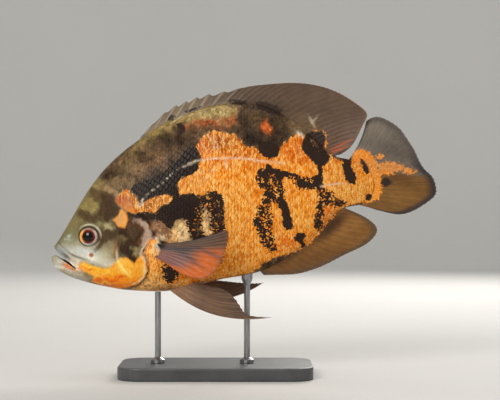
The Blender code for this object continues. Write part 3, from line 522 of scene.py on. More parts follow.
    # head
    olive = lin((0.49, 0.465, 0.36))
    gill = near_line(U, V, GILL_LINE)[0]
    front = ramp(-((U - 112) * 0.86 + (V - 196) * -0.5), -6, 14) * (1 - ramp(V, 212, 232))
    head = np.clip(np.maximum(ramp(-gill, -0.5, 1.0) * ramp(V, 186, 206), front), 0, 1)
    g = over(g, olive, head)
    for cu, cv, ru, rv, turn, col, s in (
            (82, 208, 9, 6, -55, (0.62, 0.58, 0.40), 0.8), (98, 184, 14, 9, -50, (0.60, 0.55, 0.38), 0.85), (108, 190, 12, 6, -50, (0.64, 0.58, 0.46), 0.8),
            (93, 196, 9, 5, -30, (0.36, 0.33, 0.24), 0.85), (103, 193, 7, 5, 30, (0.35, 0.30, 0.24), 0.8),
            (90, 206, 8, 6, -30, (0.62, 0.59, 0.40), 0.9), (101, 208, 6, 6, 0, (0.52, 0.48, 0.34), 0.6),
            (82, 212, 7, 4, -30, (0.40, 0.37, 0.28), 0.7), (109, 205, 9, 15, 8, (0.20, 0.155, 0.125), 1.0),
            (101, 217, 14, 5, 10, (0.31, 0.26, 0.20), 0.85), (94, 218, 9, 4, -10, (0.36, 0.33, 0.26), 0.7),
            (80, 219, 7, 4, -20, (0.52, 0.52, 0.38), 0.5), (76, 226, 5, 6, 0, (0.44, 0.43, 0.34), 0.6),
            (72, 232, 9, 9, 0, (0.53, 0.54, 0.42), 0.6), (62, 241, 6, 6, 0, (0.42, 0.44, 0.30), 0.9),
            (96, 222, 6, 4, 0, (0.57, 0.58, 0.48), 0.6), (108, 226.6, 5.4, 3.8, 0, (0.74, 0.73, 0.58), 0.95),
            (102, 232, 8, 5, 0, (0.33, 0.29, 0.24), 0.7), (111, 234, 7, 5, 0, (0.29, 0.245, 0.20), 0.6),
            (119, 232, 7, 12, 0, (0.26, 0.215, 0.18), 0.9), (100, 246, 6.4, 5.6, 0, (0.27, 0.225, 0.18), 1.0),
            (92, 249, 7, 3.4, 0, (0.42, 0.39, 0.33), 0.6), (107, 246, 5, 7, 0, (0.62, 0.61, 0.53), 0.8),
            (131, 229, 12, 10, 0, (0.32, 0.265, 0.205), 0.9), (134, 219, 10, 5, 0, (0.19, 0.15, 0.125), 0.95),
            (124, 238, 6, 4, 0, (0.50, 0.44, 0.33), 0.8), (136, 240, 4, 6, 0, (0.42, 0.35, 0.26), 0.6),
            (126, 250, 9, 7.6, 0, (0.18, 0.14, 0.115), 1.0), (132, 259, 6, 5, 30, (0.19, 0.15, 0.125), 1.0),
            (135.4, 252, 4.2, 4.4, 0, (0.66, 0.62, 0.50), 1.0), (119, 246, 2.6, 7, 0, (0.34, 0.28, 0.23), 0.7),
            (84, 252, 20, 9, 14, (0.80, 0.84, 0.85), 0.95), (100, 258, 14, 8, 14, (0.76, 0.77, 0.72), 0.9),
            (106, 264, 10, 5, 10, (0.82, 0.82, 0.78), 0.9), (72, 245, 8, 5, 20, (0.56, 0.57, 0.48), 0.8),
            (113, 252, 4.5, 10, 0, (0.62, 0.52, 0.40), 0.6), (69, 238, 4, 3, 0, (0.72, 0.76, 0.74), 0.7),
            (66, 250, 7, 5, 38, (0.66, 0.69, 0.71), 0.9), (75, 260, 6, 4, 38, (0.78, 0.80, 0.80), 0.9),
            (60, 264, 11, 9, 20, (0.84, 0.84, 0.82), 1.0), (73, 266, 10, 7, 30, (0.93, 0.91, 0.88), 1.0),
            (70, 276, 15, 5, 14, (0.80, 0.79, 0.77), 1.0), (62, 254, 6, 3.4, 40, (0.60, 0.64, 0.68), 0.9),
            (78, 259, 5, 3, 30, (0.80, 0.82, 0.86), 0.9), (76, 272, 10, 2, 22, (0.58, 0.50, 0.44), 0.6),
            (64, 271, 8, 1.6, 24, (0.58, 0.52, 0.46), 0.6), (84, 279, 10, 4, 14, (0.72, 0.68, 0.62), 0.9),
            (54, 258, 3, 4, 0, (0.60, 0.61, 0.62), 0.6), (57, 247, 3, 4, 0, (0.50, 0.52, 0.48), 0.7)):
        g = over(g, lin(col), s * head * wash(U, V, cu, cv, ru, rv, turn))
    for poly, col, s in CLOUDS:
        g = over(g, lin(col), s * ramp(inside(U, V, poly), -2.4, 2.0))
    k = ramp(noise_at(U, V, 0.30, 31), -0.8, 0.8)
    g = g * (1 + head * (0.22 * k - 0.11))[..., None]
    U, V, Uw, Vw = U0, V0, U, V
    # pale gill flap with its brown rim
    flap = np.clip(-gill, 0, 30)
    on = ramp(V, 216, 222) * (1 - ramp(V, 280, 287)) * (gill < 0.6)
    width = np.where(V < 246, 8.5, 4.0)
    g = over(g, lin((0.72, 0.64, 0.63)), 0.92 * on * (1 - ramp(flap, width * 0.55, width)))
    g = over(g, lin((0.86, 0.80, 0.76)), 0.75 * on * bump1(gill, -1.6, 1.0) * bump1(V, 250, 14))
    g = over(g, lin((0.40, 0.24, 0.15)), 0.8 * on * bump1(gill, -width * 1.05, 1.2) * (V < 246))
    g = over(g, lin((0.20, 0.10, 0.06)), 0.85 * np.exp(-(np.maximum(gill - 0.9, 0.9 - gill) / 1.0) ** 2) * ramp(V, 214, 220) * (1 - ramp(V, 286, 291)) * (1 - 0.5 * bump1(V, 252, 9)))
    g = over(g, lin((0.22, 0.12, 0.08)), 0.95 * wash(U, V, 154, 235, 2.2, 4.2))
    g = over(g, lin((0.90, 0.87, 0.86)), 0.95 * wash(U, V, 155.6, 244, 5.2, 6.4, 0, 4))
    g = over(g, lin((0.93, 0.90, 0.86)), 0.8 * wash(U, V, 163, 238, 5, 2.0, 30, 3))
    g = over(g, lin((0.88, 0.74, 0.62)), 0.8 * wash(U, V, 151, 247, 3.0, 7, 10, 3))
    g = over(g, lin((0.10, 0.08, 0.08)), 0.95 * wash(U, V, 163, 242.6, 4.6, 2.0, 24, 4))
    g = over(g, lin((0.12, 0.10, 0.11)), 0.9 * wash(U, V, 166, 255, 9, 1.8, 28, 3))
    m, mk = near_line(U, V, MEMBRANE)
    g = over(g, lin((0.30, 0.12, 0.05)), 0.85 * np.exp(-(m / 0.8) ** 2) * ramp(mk, 0.05, 0.3))
    # painted shadow along the groove of the upper lip; a dark ring round the eye, darker above; a painted highlight on
    # the upper rim of the eye socket; a pale rim below the eye; dots; a painted highlight along the preopercle ridge
    l, lk = near_line(U, V, LIP_TOP)
    # painted shadow in the lip groove, strongest along its middle stretch
    g = over(g, lin((0.10, 0.09, 0.09)), np.exp(-(l / 0.95) ** 2) * (0.35 + 0.65 * ramp(lk, 0.26, 0.42)) * (1 - ramp(lk, 0.62, 0.80)) * head)
    g = over(g, lin((0.55, 0.58, 0.62)), 0.6 * np.exp(-(l / 0.9) ** 2) * ramp(lk, 0.6, 0.75) * (1 - ramp(lk, 0.9, 1)) * head)
    r = np.hypot(U - EYE_SPOT[0], V - EYE_SPOT[1])
    turn = np.arctan2(V - EYE_SPOT[1], U - EYE_SPOT[0])
    g = over(g, lin((0.24, 0.18, 0.14)), bump1(r, 9.4, 1.2) * (0.65 + 0.35 * (V < 236)))
    # pale arc on the upper rim of the eye socket: painted highlight
    g = over(g, lin((0.80, 0.84, 0.80)), 0.85 * bump1(r, 12.0, 0.8) * ramp(np.cos(turn + 1.2), 0.1, 0.7))
    g = over(g, lin((0.78, 0.80, 0.76)), 0.45 * bump1(r, 11.6, 1.1) * ramp(np.cos(turn - 1.7), 0.1, 0.8))
    g = over(g, lin((0.70, 0.36, 0.12)), 0.95 * wash(U, V, 91.3, 255.0, 2.3, 2.1, 0, 5))
    g = over(g, lin((0.78, 0.44, 0.20)), 0.8 * wash(U, V, 67.6, 266.4, 5.0, 1.6, 32, 3))
    g = over(g, lin((0.86, 0.56, 0.36)), 0.7 * wash(U, V, 80.6, 265.6, 1.6, 3.4, 25, 3))
    g = over(g, lin((0.58, 0.36, 0.22)), 0.7 * wash(U, V, 115.4, 248, 1.6, 7, 8, 3))
    p, pk = near_line(U, V, PREOP)
    # pale line along the preopercle ridge: painted highlight, on the ground here and on the orange below
    g = over(g, lin((0.92, 0.86, 0.78)), 0.9 * bump1(p, 0.3, 1.1) * ramp(pk, 0.42, 0.56) * (1 - ramp(pk, 0.86, 0.98)))
    painted_ridge_highlight = 0.85 * bump1(p, 0.3, 1.1) * ramp(pk, 0.42, 0.56) * (1 - ramp(pk, 0.86, 0.98))
    U, V = Uw, Vw
    # orange tones
    q = np.zeros(np.shape(u) + (3,)) + lin((0.95, 0.55, 0.10))
    for cu, cv, ru, rv, turn, col, s in (
            (218, 142, 28, 11, 0, (0.66, 0.30, 0.05), 0.95), (204, 146, 8, 8, 0, (0.84, 0.42, 0.14), 0.6),
            (250, 154, 14, 8, 0, (0.80, 0.39, 0.075), 0.8), (196, 184, 17, 9, 0, (0.92, 0.66, 0.36), 0.7),
            (205, 172, 12, 5, -20, (0.88, 0.60, 0.34), 0.6), (184, 187, 7, 8, 0, (0.86, 0.52, 0.24), 0.7),
            (232, 210, 12, 26, 0, (0.95, 0.68, 0.34), 0.6), (236, 250, 14, 20, 0, (0.93, 0.60, 0.24), 0.5),
            (247, 190, 8, 20, 0, (0.91, 0.56, 0.17), 0.5), (290, 242, 16, 8, 0, (0.93, 0.47, 0.08), 0.9),
            (300, 215, 12, 18, 0, (0.95, 0.64, 0.24), 0.6), (294, 152, 15, 10, 20, (0.88, 0.43, 0.05), 0.95),
            (303, 140, 6, 6, 0, (0.86, 0.42, 0.10), 0.8), (327, 212, 7, 9, 30, (0.90, 0.45, 0.13), 0.8),
            (335, 175, 14, 12, 0, (0.93, 0.60, 0.20), 0.6), (345, 192, 18, 8, 0, (0.95, 0.68, 0.33), 0.7),
            (362, 190, 12, 9, 0, (0.92, 0.66, 0.30), 0.6), (376, 165, 8, 10, 0, (0.88, 0.60, 0.30), 0.5),
            (150, 266, 7, 12, 0, (0.93, 0.53, 0.12), 0.9), (155, 250, 9, 9, 20, (0.93, 0.75, 0.54), 0.85),
            (158, 276, 12, 7, 0, (0.84, 0.60, 0.32), 0.8), (195, 276, 18, 7, -8, (0.90, 0.47, 0.12), 0.8),
            (150, 205, 14, 8, -14, (0.65, 0.36, 0.155), 0.9), (165, 200, 9, 5, 0, (0.75, 0.48, 0.26), 0.8),
            (128, 200, 14, 11, 0, (0.61, 0.32, 0.155), 0.9), (121, 200, 6, 6, 0, (0.64, 0.26, 0.09), 0.95),
            (134, 205, 6, 5, 0, (0.72, 0.45, 0.31), 0.6), (120, 219, 9, 10, 0, (0.79, 0.57, 0.38), 1.0),
            (95, 267, 20, 5, 12, (0.94, 0.70, 0.22), 0.95), (112, 272, 10, 5, 10, (0.95, 0.72, 0.35), 0.6),
            (112, 282, 22, 6, 0, (0.95, 0.50, 0.06), 0.95), (128, 280, 10, 6, 0, (0.95, 0.55, 0.10), 0.8),
            (128, 264, 9, 6, 20, (0.94, 0.74, 0.46), 0.8), (138, 270, 8, 10, 0, (0.92, 0.63, 0.28), 0.8),
            (122, 269, 3, 6, -30, (0.96, 0.80, 0.62), 0.8), (110, 286.6, 24, 2.0, 4, (0.80, 0.36, 0.06), 0.8),
            (144, 268, 2.4, 11, 0, (0.93, 0.74, 0.58), 0.9), (118, 260, 3, 6, 0, (0.93, 0.78, 0.66), 0.8),
            (85, 262, 4, 3, 20, (0.95, 0.78, 0.50), 0.6), (394, 167, 22, 6, 6, (0.78, 0.52, 0.32), 0.8)):
        q = over(q, lin(col), s * wash(U, V, cu, cv, ru, rv, turn))
    # painted highlight along the preopercle ridge where it runs over orange
    q = over(q, lin((0.98, 0.86, 0.70)), painted_ridge_highlight)
    for cu, cv, ru, rv, turn in ((98, 277, 8, 1.3, 14), (92, 272.6, 6, 1.2, 20), (104, 273, 8, 1.2, 12), (129, 272, 1.1, 7, -40),
                                 (101, 283, 9, 1.1, 10), (86, 266.6, 4, 1.0, 20)):
        q = over(q, lin((0.98, 0.82, 0.56)), 0.6 * wash(U, V, cu, cv, ru, rv, turn, 3))
    for cu, cv, ru, rv, turn in ((96, 279.6, 7, 1.2, 14), (108, 280, 10, 1.5, 6), (88, 269.4, 5, 1.2, 24), (121, 277, 7, 1.6, -14)):
        q = over(q, lin((0.84, 0.30, 0.03)), 0.65 * wash(U, V, cu, cv, ru, rv, turn, 3))
    # darks
    k = np.zeros(np.shape(u) + (3,)) + lin((0.195, 0.142, 0.115))
    k = over(k, lin((0.155, 0.108, 0.088)), wash(U, V, 185, 212, 30, 16, 0, 4))
    k = over(k, lin((0.115, 0.080, 0.058)), 0.95 * wash(U, V, 166, 178, 42, 24, -36, 4))
    b = np.maximum(b, np.minimum(saddle, spot(U, V, 270, 151, 12, 9, 0)))
    lighter = 0.5 + 0.5 * noise_at(U, V, 0.14, 33)
    tone = over(np.zeros(np.shape(u) + (3,)) + lin((0.21, 0.175, 0.16)), lin((0.33, 0.275, 0.235)), np.clip(lighter, 0, 1))
    for cu, cv, ru, rv, turn, col, s in ((256, 118, 7, 12, 20, (0.42, 0.35, 0.27), 0.7), (280, 124, 6, 10, 0, (0.34, 0.29, 0.23), 0.6),
                                         (267, 150, 12, 9, 0, (0.14, 0.11, 0.10), 1.0), (250, 138, 9, 8, 0, (0.19, 0.16, 0.15), 0.9),
                                         (246, 122, 7, 9, 0, (0.24, 0.20, 0.18), 0.8), (276, 138, 8, 8, 0, (0.24, 0.20, 0.18), 0.8),
                                         (292, 122, 8, 8, 0, (0.44, 0.38, 0.31), 0.8), (262, 112, 12, 5, 0, (0.30, 0.25, 0.22), 0.6)):
        tone = over(tone, lin(col), s * wash(U, V, cu, cv, ru, rv, turn))
    soft = ramp(saddle + 2.2 * noise_at(U, V, 0.55, 41), -3.2, 3.0)
    g = over(g, tone, soft)
    g = over(g, lin((0.84, 0.45, 0.24)), 0.95 * wash(U, V, 266.4, 127, 4.2, 6.6, -30, 3))
    g = over(g, lin((0.50, 0.44, 0.35)), 0.8 * ramp(U, 286, 296) * (1 - ramp(U, 330, 345)) * (1 - ramp(V, 136, 146)))
    # how finely black breaks up into orange flecks
    pep = np.zeros(np.shape(u))
    for q_ in ((208, 218, 17, 26), (266, 218, 13, 38), (276, 188, 12, 14), (170, 274, 12, 11), (332, 198, 17, 11),
               (319, 216, 6, 14), (300, 182, 14, 8)):
        pep = np.maximum(pep, wash(U, V, q_[0], q_[1], q_[2], q_[3], 0, 4))
    for q_ in ((193, 228, 12, 14, 0.7), (160, 215, 16, 8, 0.5), (180, 197, 16, 5, 0.45), (264, 178, 10, 12, 0.6),
               (192, 210, 9, 9, 0.45), (318, 150, 10, 14, 0.4)):
        pep = np.maximum(pep, q_[4] * wash(U, V, q_[0], q_[1], q_[2], q_[3], 0, 4))
    pep = pep * (1 - 0.4 * wash(U, V, 176, 206, 10, 8, 0, 4))
    # the flecks inside black are orange, whatever lies round the patch
    o = np.where(pep > 0.25, np.maximum(o, np.minimum(b - 0.8, 3.0)), o)
    U, V = U0, V0
    # whitish pored line
    d1, k1 = near_line(U, V, LATERAL)
    d2, k2 = near_line(U, V, LATERAL_2)
    lat = np.maximum(np.exp(-(d1 / 0.95) ** 2) * (1 - 0.35 * ramp(k1, 0.85, 1.0)),
                     np.exp(-(d2 / 1.0) ** 2) * (1 - ramp(k2, 0.55, 0.8)))
    dash = ramp(np.sin(k1 * 2 * math.pi * 25 + 1.3 * np.sin(k1 * 31)), -0.75, -0.1)
    thin = ramp(k1, 0.03, 0.08) * (1 - ramp(k1, 0.34, 0.42))
    lat = lat * (1 - thin * (1 - 0.80 * np.exp(-(d1 / 0.50) ** 2) * dash)) * (0.35 + 0.65 * np.maximum(dash, 0.5 * (k1 > 0.42)))
    lat = lat * ramp(np.abs(w), 4, 10)
    for cu, cv, ru, rv, turn, s in ((300, 133.6, 4.5, 2.4, 40, 0.8), (312, 122, 1.2, 4.6, -30, 0.8), (314, 120, 1.0, 5, 40, 0.5),
                                    (203, 145, 0.6, 6, -32, 0.5), (209, 137, 0.6, 5, -40, 0.5), (215, 141, 0.6, 6, -36, 0.5), (199, 150, 0.5, 4, -20, 0.4), (212, 150, 0.6, 4, 60, 0.35),
                                    (222, 139, 0.6, 5, -32, 0.45), (207, 178, 0.8, 9, 62, 0.40), (198, 173, 0.7, 6, 50, 0.35), (214, 170, 0.7, 5, 70, 0.3), (226, 164, 2.4, 5, -10, 0.4),
                                    (142, 204, 2.4, 1.2, -50, 0.8), (216, 147, 4, 1.2, 0, 0.5)):
        lat = np.maximum(lat, s * wash(U, V, cu, cv, ru, rv, turn, 3))
    net = np.clip(ramp(U, 318, 345) + 0.12, 0, 1) * (1 - head)
    fleck = 0.30 * (1 - head)
    for cu, cv, ru, rv, s_ in ((163, 232, 15, 13, 1.0), (152, 258, 10, 12, 0.8), (182, 234, 9, 12, 0.7), (207, 226, 6, 16, 0.8),
                               (150, 160, 26, 16, 0.5), (210, 118, 32, 12, 0.7), (66, 268, 16, 10, 0.35), (262, 126, 24, 22, 0.6),
                               (150, 284, 26, 8, 0.7), (92, 205, 22, 30, 0.3), (130, 240, 12, 26, 0.3), (300, 122, 20, 12, 0.5)):
        fleck = np.maximum(fleck, s_ * wash(U, V, cu, cv, ru, rv, 0, 4))
    for cu, cv, ru, rv, turn, s_ in ((182, 115.4, 9, 1.0, -36, 0.9), (203, 106.4, 8, 1.1, -15, 0.95), (220, 102.8, 12, 1.0, -6, 0.8)):
        g = over(g, lin((0.93, 0.90, 0.82)), s_ * wash(U, V, cu, cv, ru, rv, turn, 3))
    g = g * np.array((1.0, 0.90, 0.70))
    # pale cheeks and lips; the dark grey oval at (66.6, 256.6) is partly the lip's blue-grey and partly painted shadow
    # of the gap between the lips
    for cu, cv, ru, rv, turn, col, s_ in (
            (83, 252.4, 15, 5.0, 12, (0.87, 0.89, 0.87), 0.80), (91, 258.6, 13, 4.0, 18, (0.93, 0.92, 0.86), 0.75),
            (106, 262.6, 9, 3.6, 8, (0.84, 0.82, 0.75), 0.7), (71, 261.4, 7, 2.6, 40, (0.90, 0.87, 0.84), 0.75),
            (62, 251.6, 6.4, 2.0, 40, (0.55, 0.60, 0.63), 0.8), (66.6, 256.6, 5.6, 1.7, 40, (0.36, 0.35, 0.34), 0.85),
            (59, 263, 5.4, 4.4, 30, (0.70, 0.72, 0.68), 0.7), (69, 270, 9, 3.4, 28, (0.80, 0.76, 0.70), 0.55),
            (77, 277, 10, 2.6, 22, (0.66, 0.65, 0.62), 0.6), (56, 267.6, 3.6, 2.6, 40, (0.84, 0.86, 0.86), 0.6),
            (69, 236, 2.2, 1.6, 0, (0.80, 0.86, 0.84), 0.6), (65, 239.4, 1.4, 1.0, 0, (0.78, 0.84, 0.82), 0.5)):
        g = over(g, lin(col), s_ * head * (np.abs(w) > 2) * wash(U, V, cu, cv, ru, rv, turn, 3))
    for cu, cv, ru, rv, turn, s_ in ((183, 234, 8, 11, -10, 0.55), (207, 226, 4.6, 15, -6, 0.45), (157, 256, 7, 8, 40, 0.5)):
        g = over(g, lin((0.96, 0.86, 0.68)), s_ * wash(U, V, cu, cv, ru, rv, turn, 3))
    g = over(g, lin((0.66, 0.33, 0.14)), 0.95 * wash(U, V, 91.0, 255.0, 2.4, 2.2, 0, 5))
    g = over(g, lin((0.84, 0.44, 0.18)), 0.85 * wash(U, V, 67.0, 266.0, 5.6, 1.9, 32, 3))
    g = over(g, lin((0.90, 0.55, 0.26)), 0.75 * wash(U, V, 74.0, 269.6, 3.4, 1.6, 36, 3))
    g = over(g, lin((0.88, 0.56, 0.34)), 0.75 * wash(U, V, 80.6, 265.6, 1.7, 3.6, 25, 3))
    q = q * np.array((1.05, 1.05, 0.84))
    q = q * (1 + ramp(V, 158, 182)[..., None] * np.array((0.03, 0.09, 0.10)))
    q = over(q, q * np.array((1.0, 0.96, 0.42)), head * ramp(V, 246, 256))
    # the cover's edge stays drawn where orange runs over it
    edge = on * ramp(V, 250, 258)
    q = over(q, lin((0.93, 0.82, 0.68)), 0.75 * edge * bump1(gill, -2.2, 1.0))
    q = over(q, lin((0.30, 0.10, 0.03)), 0.85 * edge * bump1(gill, 0.6, 0.9))
    return dict(sd_orange=np.clip(o, -8, 8), sd_black=np.clip(b, -8, 8), ground=g, orange=q, black=k,
                pepper=pep, pale=lat, net=net, head=head, fleck=fleck)


def set_marks(me, m, rim, rnd):
    for n in ("sd_orange", "sd_black", "pepper", "pale", "net", "head", "fleck"):
        set_float(me, n, m[n])
    for n in ("ground", "orange", "black"):
        set_color(me, n, m[n].reshape(-1, 3))
    set_float(me, "rim", rim)
    set_float(me, "rnd", rnd)


# ------------------------------------------------------------- node helpers
class Nodes:
    """Short hand for wiring a shader."""

    def __init__(self, nt):
        self.nt = nt

    def attr(self, name, out="Fac"):
        n = self.nt.nodes.new("ShaderNodeAttribute")
        n.attribute_name = name
        return n.outputs[out]

    def wire(self, value, socket):
        if hasattr(value, "node"):
            self.nt.links.new(value, socket)
        elif isinstance(value, tuple):
            socket.default_value = value if len(value) == len(socket.default_value) else (*value, 1.0)
        else:
            socket.default_value = value

    def math(self, op, a, b=0.0, c=0.0, clamp=False):
        n = self.nt.nodes.new("ShaderNodeMath")
        n.operation, n.use_clamp = op, clamp
        for v, s in zip((a, b, c), n.inputs):
            self.wire(v, s)
        return n.outputs[0]

    def add(self, a, b):
        return self.math("ADD", a, b)

    def mul(self, a, b):
        return self.math("MULTIPLY", a, b)

    def step(self, x, lo, hi, a=0.0, b=1.0):
        n = self.nt.nodes.new("ShaderNodeMapRange")
        n.interpolation_type = "SMOOTHSTEP"
        self.wire(x, n.inputs[0])
        for i, v in enumerate((lo, hi, a, b)):
            self.wire(v, n.inputs[1 + i])
        return n.outputs[0]

    def mix(self, k, a, b, mode="MIX"):
        n = self.nt.nodes.new("ShaderNodeMix")
        n.data_type, n.blend_type = "RGBA", mode
        self.wire(k, n.inputs[0])
        self.wire(a, n.inputs[6])
        self.wire(b, n.inputs[7])
        return n.outputs[2]

    def coords(self, scale=(1, 1, 1)):
        n = self.nt.nodes.new("ShaderNodeTexCoord")
        if scale == (1, 1, 1):
            return n.outputs["Object"]
        m = self.nt.nodes.new("ShaderNodeMapping")
        self.nt.links.new(n.outputs["Object"], m.inputs[0])
        m.inputs["Scale"].default_value = scale
        return m.outputs[0]

    def noise(self, scale, detail=2.0, rough=0.5, co=None, seed=0.0):
        n = self.nt.nodes.new("ShaderNodeTexNoise")
        n.noise_dimensions = "4D"
        self.wire(co if co is not None else self.coords(), n.inputs["Vector"])
        n.inputs["W"].default_value = seed
        n.inputs["Scale"].default_value = scale
        n.inputs["Detail"].default_value = detail
        n.inputs["Roughness"].default_value = rough
        return n.outputs[0]

    def voronoi(self, scale, feature="F1", co=None, out="Distance", randomness=1.0):
        n = self.nt.nodes.new("ShaderNodeTexVoronoi")
        n.feature = feature
        self.wire(co if co is not None else self.coords(), n.inputs["Vector"])
        n.inputs["Scale"].default_value = scale
        n.inputs["Randomness"].default_value = randomness
        return n.outputs[out]

    def bump(self, height, strength, distance):
        n = self.nt.nodes.new("ShaderNodeBump")
        n.inputs["Strength"].default_value = strength
        n.inputs["Distance"].default_value = distance
        self.wire(height, n.inputs["Height"])
        return n.outputs[0]


# ---------------------------------------------------------------- materials
def material(name):
    m = bpy.data.materials.new(name)
    m.use_nodes = True
    nt = m.node_tree
    nt.nodes.clear()
    out = nt.nodes.new("ShaderNodeOutputMaterial")
    bsdf = nt.nodes.new("ShaderNodeBsdfPrincipled")
    nt.links.new(bsdf.outputs[0], out.inputs[0])
    return m, nt, bsdf


def s3(c):
    return tuple(float(x) for x in lin(c))


def coat_material(name, scaly):
    """Patches of orange and black over the ground, broken up at their rims."""
    m, nt, b = material(name)
    N = Nodes(nt)
    co = N.coords()
    big = N.noise(170, 3, 0.6, co, 1.0)
    mid = N.noise(430, 2, 0.6, co, 2.0)
    fine = N.noise(1000, 2, 0.65, co, 3.0)
    island = N.noise(600, 2, 0.6, co, 5.0)
    bald = N.math("SUBTRACT", 1.0, N.attr("head"), clamp=True)
    jag = N.add(N.mul(N.math("SUBTRACT", mid, 0.5), 9.0), N.mul(N.math("SUBTRACT", fine, 0.5), 5.0))
    if scaly:
        jag = N.add(jag, N.mul(N.attr("rnd"), 1.3))
    rough_rim = N.step(bald, 0.0, 1.0, 0.45, 1.0)
    so = N.add(N.attr("sd_orange"), N.mul(jag, N.mul(rough_rim, 0.8)))
    so = N.mul(so, N.step(bald, 0.0, 1.0, 0.42, 1.0))
    ok = N.step(so, -0.7, 0.6)
    pep = N.attr("pepper")
    sb = N.add(N.attr("sd_black"), N.mul(jag, 0.55))
    sb = N.add(sb, N.mul(pep, N.mul(N.math("SUBTRACT", island, 0.472), 31.0)))
    # nothing black springs up far from a patch
    sb = N.math("MINIMUM", sb, N.add(N.mul(N.attr("sd_black"), 1.4), N.add(2.0, N.mul(pep, 2.2))))
    bk = N.step(sb, -0.35, 0.35)
    ground = N.mix(N.step(big, 0.35, 0.65, 0.0, 0.55), N.attr("ground", "Color"),
                   N.mix(1.0, N.attr("ground", "Color"), (0.62, 0.60, 0.60), "MULTIPLY"))
    ground = N.mix(N.step(mid, 0.5, 0.72, 0.0, 0.35), ground, N.mix(1.0, ground, (1.35, 1.32, 1.25), "MULTIPLY"))
    mott = N.noise(250, 4, 0.62, co, 11.0)
    ground = N.mix(N.mul(N.step(mott, 0.48, 0.39), N.mul(bald, 0.80)), ground, N.mix(1.0, ground, (0.50, 0.46, 0.45), "MULTIPLY"))
    ground = N.mix(N.mul(N.step(mott, 0.53, 0.62), N.mul(bald, 0.75)), ground, N.mix(1.0, ground, (1.55, 1.45, 1.40), "MULTIPLY"))
    fl = N.attr("fleck")
    ground = N.mix(N.mul(N.step(N.add(mid, N.mul(fine, 0.5)), 0.78, 0.92), N.mul(fl, 0.75)), ground,
                   N.mix(1.0, ground, (1.9, 1.8, 1.7), "MULTIPLY"))
    ground = N.mix(N.mul(N.step(N.add(mid, N.mul(fine, 0.5)), 0.72, 0.60), N.mul(fl, 0.75)), ground,
                   N.mix(1.0, ground, (0.50, 0.42, 0.38), "MULTIPLY"))
    orange = N.attr("orange", "Color")
    streak = N.noise(1.0, 2, 0.6, N.coords((720, 500, 260)), 7.0)
    fade = N.step(bald, 0.0, 1.0, 0.25, 1.0)
    own = orange
    light = N.mix(0.70, own, s3((1.0, 0.83, 0.50)))
    deep = N.mix(0.85, own, N.mix(1.0, own, (0.60, 0.38, 0.24), "MULTIPLY"))
    orange = N.mix(N.mul(N.step(streak, 0.50, 0.62, 0.0, 0.95), fade), orange, light)
    orange = N.mix(N.mul(N.step(streak, 0.49, 0.38, 0.0, 1.0), fade), orange, deep)
    orange = N.mix(N.mul(N.step(fine, 0.56, 0.68, 0.0, 0.6), fade), orange, light)
    orange = N.mix(N.mul(N.step(big, 0.54, 0.68, 0.0, 0.45), fade), orange, deep)
    orange = N.mix(N.mul(N.step(big, 0.44, 0.32, 0.0, 0.40), fade), orange, light)
    if scaly:
        # each scale deepens in colour towards its hind rim: painted shade at the scale's edge. Then a random lighter or
        # deeper tone per scale.
        rim = N.attr("rim")
        orange = N.mix(N.mul(N.step(rim, 0.62, 0.95), 0.30), orange, deep)
        orange = N.mix(N.mul(N.step(N.attr("rnd"), 0.25, 1.0), 0.5), orange, light)
        orange = N.mix(N.mul(N.step(N.attr("rnd"), -0.45, -1.0), 0.45), orange, deep)
        # painted shade at the hind rim of each scale on the ground colour as well, then a random lighter tone per scale
        ground = N.mix(N.mul(N.step(rim, 0.6, 0.95), 0.12), ground, N.mix(1.0, ground, (0.52, 0.48, 0.44), "MULTIPLY"))
        ground = N.mix(N.step(N.attr("rnd"), -1.0, 1.0, 0.0, 0.28), ground, N.mix(1.0, ground, (1.5, 1.4, 1.2), "MULTIPLY"))
    col = N.mix(ok, ground, orange)
    cells = N.voronoi(880, "DISTANCE_TO_EDGE", co)
    net = N.mul(N.mul(N.step(cells, 0.13, 0.03), N.attr("net")), N.mul(ok, 0.46))
    col = N.mix(net, col, s3((0.52, 0.27, 0.10)))
    black = N.mix(N.step(fine, 0.5, 0.75, 0.0, 0.35), N.attr("black", "Color"), s3((0.24, 0.19, 0.16)))
    col = N.mix(bk, col, black)
    pale = N.mul(N.attr("pale"), N.step(N.add(mid, N.mul(fine, 0.5)), 0.55, 0.85, 0.35, 1.0))
    col = N.mix(pale, col, s3((0.93, 0.86, 0.76)))
    # fine freckles
    col = N.mix(N.step(fine, 0.60, 0.75, 0.0, 0.22), col, N.mix(1.0, col, (0.55, 0.50, 0.46), "MULTIPLY"))
    nt.links.new(col, b.inputs["Base Color"])
    nt.links.new(N.step(mid, 0.3, 0.7, 0.34, 0.52), b.inputs["Roughness"])
    b.inputs["Coat Weight"].default_value = 0.04
    b.inputs["Coat Roughness"].default_value = 0.16
    b.inputs["Specular IOR Level"].default_value = 0.08
    h = N.add(N.mul(fine, 0.6), N.mul(N.noise(2600, 2, 0.6, co, 9.0), 0.35))
    if not scaly:
        pits = N.step(N.voronoi(330, "F1", co), 0.05, 0.30)
        h = N.add(h, N.mul(pits, 0.25))
    nt.links.new(N.bump(h, 0.35, 0.00025), b.inputs["Normal"])
    return m


